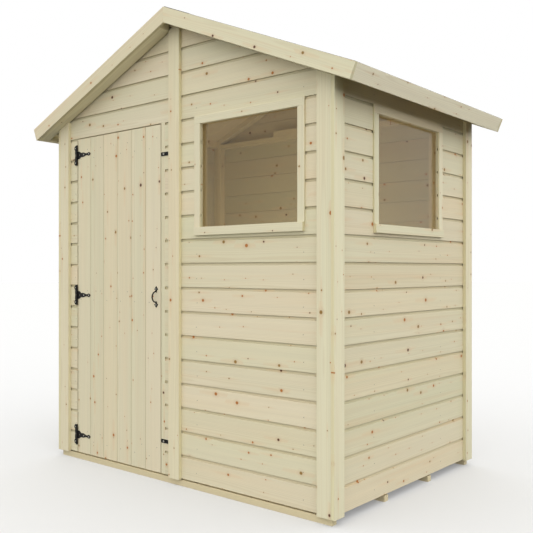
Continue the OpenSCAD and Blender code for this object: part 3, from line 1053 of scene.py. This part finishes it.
@dataclass
class Cladding:
    """The shiplap on all four walls, with the stile beside the doorway."""

    finishes: Finishes
    board: Shiplap = field(default_factory=Shiplap)
    stile_width: float = 0.026
    casing_width: float = 0.036

    def build(self) -> None:
        """Clad every wall."""
        line = Roofline.measured()
        front_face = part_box("window_side_cladding")[0].y
        back_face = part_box("back_right_cladding")[1].y
        front = Placement(Vector((0, front_face, 0)), X, Z, -Y)
        back = Placement(Vector((0, back_face, 0)), X, Z, Y)
        for node, wall in (
            ("hinge_side_cladding", front), ("over_door_cladding", front), ("window_side_cladding", front),
            ("back_left_cladding", back), ("back_right_cladding", back),
        ):
            self._gable(node, wall, line)
        self._latch_side(front)
        self._side("right_wall_cladding", X, line)
        self._side("left_wall_cladding", -X, line)

    def _opening(self, casing: str, axis: int) -> Opening:
        """Read a window's opening from its casing."""
        low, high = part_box(casing)
        width = self.casing_width
        return Opening(low[axis] + width, high[axis] - width, low.z, high.z - width)

    def _row(self, start: float, end: float, level: float, opening: Opening | None) -> list[Stick]:
        """Saw one row, round a window where there is one.

        Args:
            start: Where the row starts.
            end: Where it ends.
            level: The level of its lower edge.
            opening: The window in this wall.

        Returns:
            The boards of the row.
        """
        outline = self.board.outline()
        top = self.board.cover + self.board.tongue
        if opening is None or opening.high <= level or opening.low >= level + top:
            return [Stick(outline, start, end)]
        if opening.low > level:
            return [Stick(outline, start, end).notch(opening.start, opening.end, opening.low - level, 1)]
        if opening.high < level + top:
            return [Stick(outline, start, end).notch(opening.start, opening.end, opening.high - level, -1)]
        return [Stick(outline, start, opening.start), Stick(outline, opening.end, end)]

    def _gable(self, node: str, wall: Placement, line: Roofline) -> None:
        """Clad the part of a gable wall that one node holds."""
        low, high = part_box(node)
        work = Work(node.replace("cladding", "shiplap"))
        opening = self._opening("front_window_casing", 0) if node.startswith("window") else None
        side = 1 if low.x + high.x > 0 else -1
        for level in self.board.rows(low.z, high.z):
            for stick in self._row(low.x, high.x, level, opening):
                stick.saw((0, line.peak - level, 0), (line.fall * side, 1, 0))
                work.stick(stick, wall.moved(across=level))
        work.hand_over(self.finishes.cladding, Slot.TIMBER, [node])

    def _latch_side(self, wall: Placement) -> None:
        """Clad the strip between the doorway and the middle, with a flush stile at the doorway."""
        node = "latch_side_cladding"
        low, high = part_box(node)
        work = Work(node.replace("cladding", "shiplap"))
        stile = Stick(bar(self.stile_width, self.board.thickness), low.z, high.z).ease(0.0006)
        upright = Placement(wall.origin, Z, X, wall.out)
        work.stick(stile, upright.moved(across=low.x + self.stile_width / 2))
        for level in self.board.rows(low.z, high.z):
            stick = Stick(self.board.outline(), low.x + self.stile_width, high.x)
            if level + self.board.cover > high.z - self.board.tongue:
                stick.saw((0, high.z - level, 0), (0, 1, 0))
            work.stick(stick, wall.moved(across=level))
        work.hand_over(self.finishes.cladding, Slot.TIMBER, [node])

    def _side(self, node: str, out: Vector, line: Roofline) -> None:
        """Clad a side wall up to the slope of the roof."""
        low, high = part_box(node)
        reach = max(abs(low.x), abs(high.x))
        work = Work(node.replace("cladding", "shiplap"))
        wall = Placement(out * reach, Y, Z, out)
        opening = self._opening("side_window_casing", 1) if out.x > 0 else None
        for level in self.board.rows(low.z, high.z):
            for stick in self._row(low.y, high.y, level, opening):
                stick.saw((0, line.peak - line.fall * reach - level, 0), (0, 1, -line.fall))
                work.stick(stick, wall.moved(across=level))
        work.hand_over(self.finishes.cladding, Slot.TIMBER, [node])


@dataclass
class PackedTimber:
    """The timbers whose shape is the construction's own: bearers, framing, trims, sills and boards."""

    finishes: Finishes
    edge: float = 0.0012

    def build(self) -> None:
        """Dress every such node."""
        for index in range(1, 5):
            self._dress(f"floor_bearer_{index}", self.finishes.inside, Slot.FRAME)
        for wall in ("front", "back", "left", "right"):
            for part in ("studs", "rails"):
                self._dress(f"{wall}_wall_{part}", self.finishes.inside, Slot.FRAME)
        for node in ("back_gable_ties", "door_stops"):
            self._dress(node, self.finishes.inside, Slot.FRAME)
        # The roof frame and eave fascias take the lighter verge pine, painted light against their shade under the roof.
        self._dress("roof_frame", self.finishes.verge, Slot.FRAME)
        self._dress("eave_fascias", self.finishes.verge, Slot.TIMBER)
        self._dress("door_ledges", self.finishes.inside, Slot.FRAME, Body.DOOR)
        for node in (
            "gable_corner_trims", "side_corner_trims", "gable_battens", "window_sills",
            "left_bargeboards", "right_bargeboards",
        ):
            self._dress(node, self.finishes.trim, Slot.TIMBER)

    def _dress(self, node: str, finish: bpy.types.Material, slot: Slot, body: Body = Body.SHELL) -> None:
        """Make the timbers of one node."""
        work = Work(f"{node}_timber")
        for stick, place in packed_timbers(node, self.edge):
            work.stick(stick, place)
        work.hand_over(finish, slot, [node], body)


@dataclass
class Windows:
    """The casings and panes of both windows."""

    finishes: Finishes
    casing_width: float = 0.036
    edge: float = 0.0012
    clearance: float = 0.001

    def build(self) -> None:
        """Case and glaze both windows."""
        self._casing("front_window_casing", X, -Y)
        self._casing("side_window_casing", Y, X)
        self._panes()

    def _casing(self, node: str, run: Vector, out: Vector) -> None:
        """Make a casing of a head and two jambs.

        Args:
            node: The casing's node.
            run: The direction along the wall.
            out: The direction out of the wall.
        """
        low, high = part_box(node)
        start, end = low.dot(run), high.dot(run)
        face = max(low.dot(out), high.dot(out))
        thickness = face - min(low.dot(out), high.dot(out))
        width = self.casing_width
        work = Work(f"{node}_boards")
        section = bar(width, thickness)
        head = Placement(out * face + Z * (high.z - width / 2), run, Z, out)
        work.stick(Stick(section, start, end).ease(self.edge), head)
        for middle in (start + width / 2, end - width / 2):
            jamb = Placement(out * face + run * middle, Z, run, out)
            work.stick(Stick(section, low.z, high.z - width).ease(self.edge), jamb)
        work.hand_over(self.finishes.trim, Slot.TIMBER, [node])

    def _panes(self) -> None:
        """Make the two sheets of glass."""
        work = Work("window_panes")
        for stick, place in packed_timbers("window_glass", 0.0004):
            work.stick(stick, place)
        work.hand_over(self.finishes.glass, Slot.GLAZING, ["window_glass"])


@dataclass
class FloorDeck:
    """The matched boards of the floor, laid across the bearers."""

    finishes: Finishes
    board_width: float = 0.11

    def build(self) -> None:
        """Lay the floor."""
        low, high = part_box("floor_deck")
        work = Work("floor_boards")
        count = round((high.x - low.x) / self.board_width)
        corner = Placement(Vector((low.x, low.y, high.z)), Y, X, Z)
        MatchBoard(high.z - low.z).lay(work, corner, high.x - low.x, high.y - low.y, count)
        work.hand_over(self.finishes.inside, Slot.FRAME, ["floor_deck"])


@dataclass
class Roof:
    """The boards that run down each slope, and the felt over them."""

    finishes: Finishes
    board_width: float = 0.111
    felt_thickness: float = 0.003
    sheet: float = 0.0014
    felt_inset: float = 0.008
    board_thickness: float = 0.01
    fascia_thickness: float = 0.016
    seat: float = 0.0001
    cap_reach: float = 0.17
    lap: float = 0.06
    nail_spacing: float = 0.08
    nail_inset: float = 0.012
    ripple: float = 0.0003

    def build(self) -> None:
        """Board and felt both slopes."""
        line = Roofline.measured()
        low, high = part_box("roof_felt")
        self.pitch = line.pitch
        self.slope = high.x / math.cos(line.pitch)
        self.ridge = high.z
        self.verge = high.y - self.felt_inset
        self._boards("right_roof_boards", 1)
        self._boards("left_roof_boards", -1)
        self._felt()

    def _slope(self, side: int) -> Placement:
        """Return a slope's placement: down it, along the ridge, and out of its face."""
        down = Vector((side * math.cos(self.pitch), 0, -math.sin(self.pitch)))
        out = Vector((side * math.sin(self.pitch), 0, math.cos(self.pitch)))
        return Placement(Vector((0, 0, self.ridge)), down, Y, out)

    def _boards(self, node: str, side: int) -> None:
        """Lay the boards of one slope, mitred at the ridge, with their V joints below."""
        low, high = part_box(node)
        work = Work(f"{node}_matched")
        soffit = self.felt_thickness + self.board_thickness
        top = self._slope(side)
        under = Placement(top.point(0, low.y, soffit), top.along, Y, -top.out)
        count = round((high.y - low.y) / self.board_width)
        board = MatchBoard(self.board_thickness)
        width = (high.y - low.y) / count
        mitre = (-math.sin(self.pitch), 0, -math.cos(self.pitch))
        edge = math.tan(self.pitch)
        for i in range(count):
            stick = Stick(board.outline(width, i == 0, i == count - 1), -0.05, self.slope - self.fascia_thickness)
            stick.saw((soffit * edge, 0, 0), (-1, 0, -edge))
            work.stick(stick, under.moved(across=i * width))
        work.hand_over(self.finishes.inside, Slot.FRAME, [node])

    def _sheet(self, work: Work, place: Placement, start: float, end: float, top: float) -> None:
        """Lay a sheet of felt down one slope.

        Args:
            work: The piece that it is part of.
            place: The slope.
            start: How far down the slope it starts.
            end: How far down it ends.
            top: The depth of its face under the roof's top.
        """
        mesh = bmesh.new()
        columns, rows = 48, 16
        waves = [work.draw.uniform(0, 2 * math.pi) for _ in range(4)]
        grids = []
        for depth, wavy in ((top, True), (top + self.sheet, False)):
            grid = []
            for row in range(rows + 1):
                down = start + (end - start) * row / rows
                line = []
                for column in range(columns + 1):
                    across = -self.verge + 2 * self.verge * column / columns
                    swell = math.sin(across * 9 + waves[0]) * math.sin(down * 6 + waves[1])
                    swell += 0.6 * math.sin(across * 23 + down * 11 + waves[2])
                    inner = min(row, rows - row, column, columns - column) > 0
                    rise = self.ripple * swell if wavy and inner else 0.0
                    line.append(mesh.verts.new((down, across, depth + rise)))
                grid.append(line)
            grids.append(grid)
            for row in range(rows):
                upper, lower = grid[row], grid[row + 1]
                for column in range(columns):
                    mesh.faces.new((upper[column], lower[column], lower[column + 1], upper[column + 1]))
        rims = [self._rim(grid) for grid in grids]
        for i in range(len(rims[0])):
            mesh.faces.new((rims[0][i - 1], rims[0][i], rims[1][i], rims[1][i - 1]))
        bmesh.ops.recalc_face_normals(mesh, faces=mesh.faces)
        work.take(mesh, place)

    @staticmethod
    def _rim(grid: list[list[bmesh.types.BMVert]]) -> list[bmesh.types.BMVert]:
        """Return the outer points of a grid in order."""
        right = [line[-1] for line in grid[1:-1]]
        left = [line[0] for line in grid[1:-1]]
        return grid[0] + right + grid[-1][::-1] + left[::-1]

    def _felt(self) -> None:
        """Lay a sheet on each slope and a cap over the ridge, and nail them down."""
        sheets = Work("felt_sheets")
        nails = Work("clout_nails")
        clout = Nail(0.0042, 0.0009)
        for side in (1, -1):
            slope = self._slope(side)
            face = self.felt_thickness - self.sheet
            cap_face = face - self.sheet
            edge = self.slope - self.felt_inset
            self._sheet(sheets, slope, self.cap_reach - self.lap, edge, face)
            self._sheet(sheets, slope, 0.0, self.cap_reach, cap_face)
            self._nail_line(nails, clout, slope, self.cap_reach - self.nail_inset, cap_face)
            self._nail_line(nails, clout, slope, edge - self.nail_inset, face)
            steps = int((self.slope - self.cap_reach) / self.nail_spacing)
            for step in range(1, steps):
                down = self.cap_reach + step * (self.slope - self.cap_reach) / steps
                for across in (-self.verge + self.nail_inset, self.verge - self.nail_inset):
                    clout.add_to(nails, slope.moved(down, across, face))
        sheets.hand_over(self.finishes.felt, Slot.FELT, ["roof_felt"])
        nails.hand_over(self.finishes.nail, Slot.SCREW)

    def _nail_line(self, work: Work, nail: Nail, slope: Placement, down: float, depth: float) -> None:
        """Drive a line of nails from gable to gable.

        Args:
            work: The piece that they are part of.
            nail: The nail.
            slope: The slope.
            down: How far down the slope the line is.
            depth: The depth of the felt's face there.
        """
        reach = self.verge - self.nail_inset
        steps = round(2 * reach / self.nail_spacing)
        for step in range(steps + 1):
            nail.add_to(work, slope.moved(down, -reach + 2 * reach * step / steps, depth))


@dataclass
class Door:
    """The matched boards of the door and the nails that hold them to their ledges."""

    finishes: Finishes
    boards: int = 6
    vee: float = 0.002
    gap: float = 0.0012
    nail_stagger: float = 0.024
    nail_inset: float = 0.027

    def build(self) -> None:
        """Make the door."""
        low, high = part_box("door_boards")
        face = Placement(Vector((low.x, low.y, low.z)), Z, X, -Y)
        work = Work("door_matched_boards")
        board = MatchBoard(high.y - low.y, self.vee, self.gap)
        board.lay(work, face, high.x - low.x, high.z - low.z, self.boards)
        work.hand_over(self.finishes.cladding, Slot.TIMBER, ["door_boards"], Body.DOOR)
        self._nails(face, high.x - low.x)

    def _nails(self, face: Placement, spread: float) -> None:
        """Nail each board to each ledge, two nails on a slant."""
        work = Work("door_nails")
        width = spread / self.boards
        for level in Ironwork.hinge_levels():
            for i in range(self.boards):
                for side in (-1, 1):
                    across = (i + 0.5) * width + side * (width / 2 - self.nail_inset)
                    Nail(0.002).add_to(work, face.moved(level - face.origin.z + side * self.nail_stagger, across))
        work.hand_over(self.finishes.nail, Slot.SCREW, body=Body.DOOR)


@dataclass
class CladdingNails:
    """The nails through the shiplap into the studs behind it."""

    finishes: Finishes
    board: Shiplap = field(default_factory=Shiplap)
    rise: float = 0.04
    casing_width: float = 0.036
    glass_lap: float = 0.012
    half_stud: float = 0.014
    sill_height: float = 0.04
    front_top: float = 1.82
    side_top: float = 1.8
    door_top: float = 1.7

    def build(self) -> None:
        """Drive every nail that shows."""
        work = Work("cladding_nails")
        nail = Nail()
        low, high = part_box("window_side_cladding")
        front = Placement(Vector((0, low.y, 0)), X, Z, -Y)
        pane_low, pane_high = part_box("front_window_casing")
        side_low, side_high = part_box("side_window_casing")
        post = self.casing_width - self.glass_lap - self.half_stud
        gap = (pane_low.z - self.sill_height, pane_high.z)
        for x in (pane_low.x + post, pane_high.x - post):
            self._column(work, nail, front, x, low.z, self.front_top, gap)
        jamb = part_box("hinge_side_cladding")[1].x - self.half_stud
        self._column(work, nail, front, jamb, low.z, self.door_top, None)
        right = Placement(Vector((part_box("right_wall_cladding")[1].x, 0, 0)), Y, Z, X)
        for y in (side_low.y + post, side_high.y - post):
            self._column(work, nail, right, y, low.z, self.side_top, gap)
        left = Placement(Vector((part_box("left_wall_cladding")[0].x, 0, 0)), Y, Z, -X)
        self._column(work, nail, left, 0.0, low.z, self.side_top, None)
        work.hand_over(self.finishes.nail, Slot.SCREW)

    def _column(
        self, work: Work, nail: Nail, wall: Placement, along: float, low: float, high: float,
        gap: tuple[float, float] | None,
    ) -> None:
        """Drive one nail into each row over a stud.

        Args:
            work: The piece that they are part of.
            nail: The nail.
            wall: The wall's placement.
            along: Where the stud is along the wall.
            low: The level where the rows start.
            high: The level where the nails end.
            gap: The levels between which the window's casing covers the boards.
        """
        for level in self.board.rows(low, high):
            height = level + self.rise
            if height < high and not (gap and gap[0] < height < gap[1]):
                nail.add_to(work, wall.moved(along + work.draw.uniform(-0.003, 0.003), height))


@dataclass
class Ironwork:
    """The black hinges, the bow handle and the turn buttons, with their screws."""

    finishes: Finishes
    metal: float = 0.0025
    edge: float = 0.0006
    plate_edge: float = 0.0025
    plate_width: float = 0.026
    plate_half: float = 0.054
    root_half: float = 0.021
    knuckle: float = 0.0045
    strap: float = 0.113
    bow: float = 0.027
    rod: float = 0.0035

    @staticmethod
    def hinge_levels() -> list[float]:
        """Return the level of each hinge, from the ledges behind them."""
        return [place.origin.z for _, place in packed_timbers("door_ledges", 0.0001)]

    def build(self) -> None:
        """Fit all the ironwork."""
        self._hinges()
        self._handle()
        self._button("turn_button_top", Body.TOP_BUTTON)
        self._button("turn_button_bottom", Body.LOW_BUTTON)

    def _hinges(self) -> None:
        """Fit the three T hinges."""
        plates, straps = Work("hinge_fixed_leaves"), Work("hinge_straps_iron")
        plate_screws, strap_screws = Work("hinge_plate_screws"), Work("hinge_strap_screws")
        door_low, door_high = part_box("door_boards")
        plate_low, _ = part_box("hinge_plates")
        pin_x = plate_low.x + self.plate_edge + self.plate_width
        pin_out = door_low.y - (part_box("hinge_straps")[0].y + self.knuckle)
        for level in sorted(self.hinge_levels()):
            face = Placement(Vector((pin_x, door_low.y, level)), X, Z, -Y)
            plates.take(self._plate(), face)
            straps.take(self._strap(), face)
            pin = Placement(face.point(0, 0, -pin_out), X, Y, Z)
            self._barrel(plates, pin, self.root_half + 0.0015, self.plate_half)
            self._barrel(plates, pin, -self.plate_half, -self.root_half - 0.0015)
            self._barrel(straps, pin, -self.root_half - 0.001, self.root_half + 0.001)
            screw = CrossScrew()
            for x, z in ((-0.0165, 0.039), (-0.0165, -0.039)):
                screw.add_to(plate_screws, face.moved(x, z, -self.metal))
            for x in (0.056, 0.099):
                screw.add_to(strap_screws, face.moved(x, 0.0, -self.metal))
        plates.hand_over(self.finishes.iron, Slot.IRON, ["hinge_plates"])
        plate_screws.hand_over(self.finishes.screw, Slot.SCREW)
        straps.hand_over(self.finishes.iron, Slot.IRON, ["hinge_straps"], Body.DOOR)
        strap_screws.hand_over(self.finishes.screw, Slot.SCREW, body=Body.DOOR)

    def _plate(self) -> bmesh.types.BMesh:
        """Stamp the fixed leaf: a round lobe at each end, and a waist between them."""
        left = -self.plate_edge - self.plate_width
        clear = -self.knuckle - 0.0012
        half = self.plate_half - 0.0008
        split = self.root_half + 0.0015
        upper = [
            (-0.0012, split), (-0.0012, half), (-0.012, half), (-0.020, half - 0.0012), (left + 0.0022, half - 0.0075),
            (left, half - 0.0145), (left + 0.0026, half - 0.0215), (left + 0.0075, 0.027), (left + 0.0062, 0.014),
            (left + 0.0085, 0.0032),
        ]
        lower = [(x, -z) for x, z in reversed(upper)]
        outline = [(clear, -split), (clear, split)] + upper + lower
        hole = ring_points(0.0026, 12, -0.0145, 0.0)
        return stamped(outline, [hole], self.metal, self.edge)

    def _strap(self) -> bmesh.types.BMesh:
        """Stamp the strap: a broad root, a pierced shoulder, a neck and a pointed leaf at the tip."""
        upper = [
            (0.0012, self.root_half), (0.0115, self.root_half), (0.0175, self.root_half - 0.0015),
            (0.024, 0.0155), (0.031, 0.0112), (0.0375, 0.0106), (0.046, 0.0122), (0.056, 0.0108), (0.068, 0.0066),
            (0.080, 0.0048), (0.0885, 0.0068), (0.0955, 0.0096), (0.1025, 0.0088), (0.108, 0.0044),
        ]
        outline = upper + [(self.strap, 0.0)] + [(x, -z) for x, z in reversed(upper)]
        return stamped(outline, [ring_points(0.0028, 12, 0.019, 0.0)], self.metal, self.edge)

    def _barrel(self, work: Work, pin: Placement, low: float, high: float) -> None:
        """Roll one knuckle round the pin.

        Args:
            work: The leaf that it belongs to.
            pin: The middle of the pin.
            low: Where the knuckle starts along the pin.
            high: Where it ends.
        """
        lip = 0.0005
        radius = self.knuckle
        profile = [(radius - lip, low), (radius, low + lip), (radius, high - lip), (radius - lip, high)]
        work.take(lathe(profile, 20), pin)

    def _handle(self) -> None:
        """Fit the bow handle with its two leaf-shaped feet."""
        low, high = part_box("door_handle")
        middle = (low + high) / 2
        half = (high.z - low.z) / 2
        foot_half = (high.x - low.x) / 2
        face = Placement(Vector((middle.x, high.y, middle.z)), X, Z, -Y)
        work = Work("bow_handle")
        screws = Work("handle_screws")
        for side in (1, -1):
            shoulder = half - foot_half * 1.2
            foot = [
                (0.0, half), (foot_half * 0.45, half - 0.0075), (foot_half, shoulder), (foot_half * 0.55, shoulder - 0.0025),
                (0.0048, self.bow + self.rod), (0.0045, self.bow - self.rod - 0.0015),
            ]
            outline = foot + [(-x, z) for x, z in reversed(foot) if x]
            flipped = Placement(face.origin, X, Z * side, -Y)
            work.take(stamped(outline, [], self.metal, self.edge), flipped)
            CrossScrew(0.0032, 0.0016).add_to(screws, flipped.moved(0.0, half - 0.014, -self.metal))
        steps = 22
        turns = [math.pi * step / steps for step in range(steps + 1)]
        path = [Vector((self.bow * math.cos(turn), 0.0, -self.bow * math.sin(turn))) for turn in turns]
        radii = [self.rod * (0.8 + 0.2 * math.sin(turn)) for turn in turns]
        upright = Placement(face.origin, Z, X, -Y)
        work.take(swept(path, radii), upright)
        work.hand_over(self.finishes.iron, Slot.IRON, ["door_handle"], Body.DOOR)
        screws.hand_over(self.finishes.screw, Slot.SCREW, body=Body.DOOR)

    def _button(self, node: str, body: Body) -> None:
        """Fit one turn button, with a raised tab for the thumb at its far end."""
        low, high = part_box(node)
        half = (high.z - low.z) / 2
        thickness = high.y - low.y
        tab, corner = 0.018, 0.004
        face = Placement(Vector((0, high.y, (low.z + high.z) / 2)), X, Z, -Y)
        work = Work(f"{node}_plate")
        plate = thickness * 0.6
        work.take(stamped(self._rounded(low.x, high.x, half, corner), [], plate, self.edge), face)
        raised = self._rounded(high.x - tab, high.x, half * 0.94, corner * 0.7)
        work.take(stamped(raised, [], thickness - plate * 0.9, self.edge), face.moved(depth=-plate * 0.9))
        work.hand_over(self.finishes.iron, Slot.IRON, [node], body)

    @staticmethod
    def _rounded(start: float, end: float, half: float, corner: float) -> Outline:
        """Return a rectangle with rounded corners."""
        points = []
        for x, y, first in ((end, half, 0), (start, half, 1), (start, -half, 2), (end, -half, 3)):
            centre_x = x - corner if x == end else x + corner
            centre_y = y - corner if y > 0 else y + corner
            for step in range(5):
                turn = math.pi / 2 * (first + step / 4)
                points.append((centre_x + corner * math.cos(turn), centre_y + corner * math.sin(turn)))
        return points


@dataclass
class ButtonScrews:
    """The screws that the turn buttons pivot on."""

    finishes: Finishes

    def build(self) -> None:
        """Drive both screws."""
        low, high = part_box("turn_button_screws")
        radius = (high.x - low.x) / 2
        middle = (low.x + high.x) / 2
        work = Work("turn_button_screw_heads")
        head = 0.0024
        for level in (low.z + radius, high.z - radius):
            place = Placement(Vector((middle, low.y + head, level)), X, Z, -Y)
            CrossScrew(radius, head).add_to(work, place)
            shank = high.y - low.y - head
            work.take(lathe([(radius / 2, -shank), (radius / 2, 0.0)], 16), place)
        work.hand_over(self.finishes.screw, Slot.SCREW, ["turn_button_screws"])


# ---- the studio ----


@dataclass
class Studio:
    """A white studio: a soft dome of light, a pale floor and the camera."""

    dome: float = 1.46
    shown: float = 1.0
    fill: float = 0.88
    fill_spread: float = 60.0
    fill_height: float = 3.0
    fill_side: float = 75.0
    low_light: float = 37.0
    low_place: Vector = field(default_factory=lambda: Vector((1.6, -5.0, 0.15)))
    low_size: tuple[float, float] = (2.4, 0.3)
    floor_radius: float = 60.0
    floor_colour: Colour = (0.665, 0.665, 0.658)
    floor_bounce: Colour = (0.02, 0.02, 0.02)
    floor_glow: float = 0.2
    room_light: float = 13.0
    room_place: Vector = field(default_factory=lambda: Vector((0.0, -0.1, 1.0)))
    room_size: float = 0.3
    place: Vector = field(default_factory=lambda: Vector((2.56, -3.0175, 1.01)))
    heading: float = 39.8
    lens: float = 50.0
    rise: float = 0.0066

    def build(self) -> None:
        """Set up the light, the floor and the camera."""
        scene = bpy.context.scene
        scene.view_settings.view_transform = "Standard"
        scene.world = self._dome()
        self._floor()
        self._fill()
        self._low_light()
        self._room_light()
        camera = bpy.data.cameras.new("camera")
        camera.lens = self.lens
        camera.shift_y = self.rise
        camera.clip_end = 200.0
        viewer = bpy.data.objects.new("camera", camera)
        viewer.location = self.place
        viewer.rotation_euler = (math.radians(90), 0, math.radians(self.heading))
        scene.collection.objects.link(viewer)
        scene.camera = viewer

    def _dome(self) -> bpy.types.World:
        """Light the shed evenly from all round, against plain white."""
        bench = Bench(bpy.data.worlds.new("dome"))
        white = (1.0, 1.0, 1.0)
        light = bench.node("ShaderNodeBackground", {}, {"Color": white, "Strength": self.dome})
        backdrop = bench.node("ShaderNodeBackground", {}, {"Color": white, "Strength": self.shown})
        return bench.output(bench.mix(bench.seen(), light, backdrop))

    def _floor(self) -> None:
        """Lay a white floor that keeps the shed's soft shadow and throws little light back."""
        mesh = bmesh.new()
        bmesh.ops.create_circle(mesh, cap_ends=True, segments=64, radius=self.floor_radius)
        data = bpy.data.meshes.new("studio_floor")
        mesh.to_mesh(data)
        mesh.free()
        bench = Bench.material("studio_floor")
        matt = bench.node("ShaderNodeBsdfDiffuse", {}, {"Color": self.floor_colour})
        glow = bench.node("ShaderNodeEmission", {}, {"Color": (1.0, 1.0, 1.0), "Strength": 1.0})
        dull = bench.node("ShaderNodeBsdfDiffuse", {}, {"Color": self.floor_bounce})
        data.materials.append(bench.output(bench.mix(bench.seen(), dull, bench.mix(self.floor_glow, matt, glow))))
        floor = bpy.data.objects.new("studio_floor", data)
        bpy.context.scene.collection.objects.link(floor)

    def _fill(self) -> None:
        """Add a weak, very soft light on the side wall."""
        lamp = bpy.data.lights.new("fill", "SUN")
        lamp.energy = self.fill
        lamp.angle = math.radians(self.fill_spread)
        holder = bpy.data.objects.new("fill", lamp)
        holder.rotation_euler = (math.radians(90 - self.fill_height), 0, math.radians(self.fill_side))
        bpy.context.scene.collection.objects.link(holder)

    def _low_light(self) -> None:
        """Add a soft light near the floor in front of the door, which reaches up under the verge."""
        lamp = bpy.data.lights.new("low_light", "AREA")
        lamp.shape = "RECTANGLE"
        lamp.size, lamp.size_y = self.low_size
        lamp.energy = self.low_light
        holder = bpy.data.objects.new("low_light", lamp)
        holder.location = self.low_place
        aim = Vector((0.0, 0.0, 1.2)) - self.low_place
        holder.rotation_euler = aim.to_track_quat("-Z", "Y").to_euler()
        holder.visible_camera = False
        holder.visible_glossy = False
        bpy.context.scene.collection.objects.link(holder)

    def _room_light(self) -> None:
        """Add a weak light inside, so that the boards show through the glass."""
        lamp = bpy.data.lights.new("room_light", "POINT")
        lamp.energy = self.room_light
        lamp.shadow_soft_size = self.room_size
        holder = bpy.data.objects.new("room_light", lamp)
        holder.location = self.room_place
        holder.visible_camera = False
        holder.visible_glossy = False
        bpy.context.scene.collection.objects.link(holder)


def main() -> None:
    """Build the shed and its studio."""
    logging.basicConfig(level=logging.INFO, format="%(message)s")
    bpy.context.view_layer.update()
    finishes = Finishes.made()
    for part in (
        PackedTimber(finishes), FloorDeck(finishes), Cladding(finishes), CladdingNails(finishes), Windows(finishes),
        Roof(finishes), Door(finishes), Ironwork(finishes), ButtonScrews(finishes), Studio(),
    ):
        part.build()


if __name__ == "__main__":
    main()
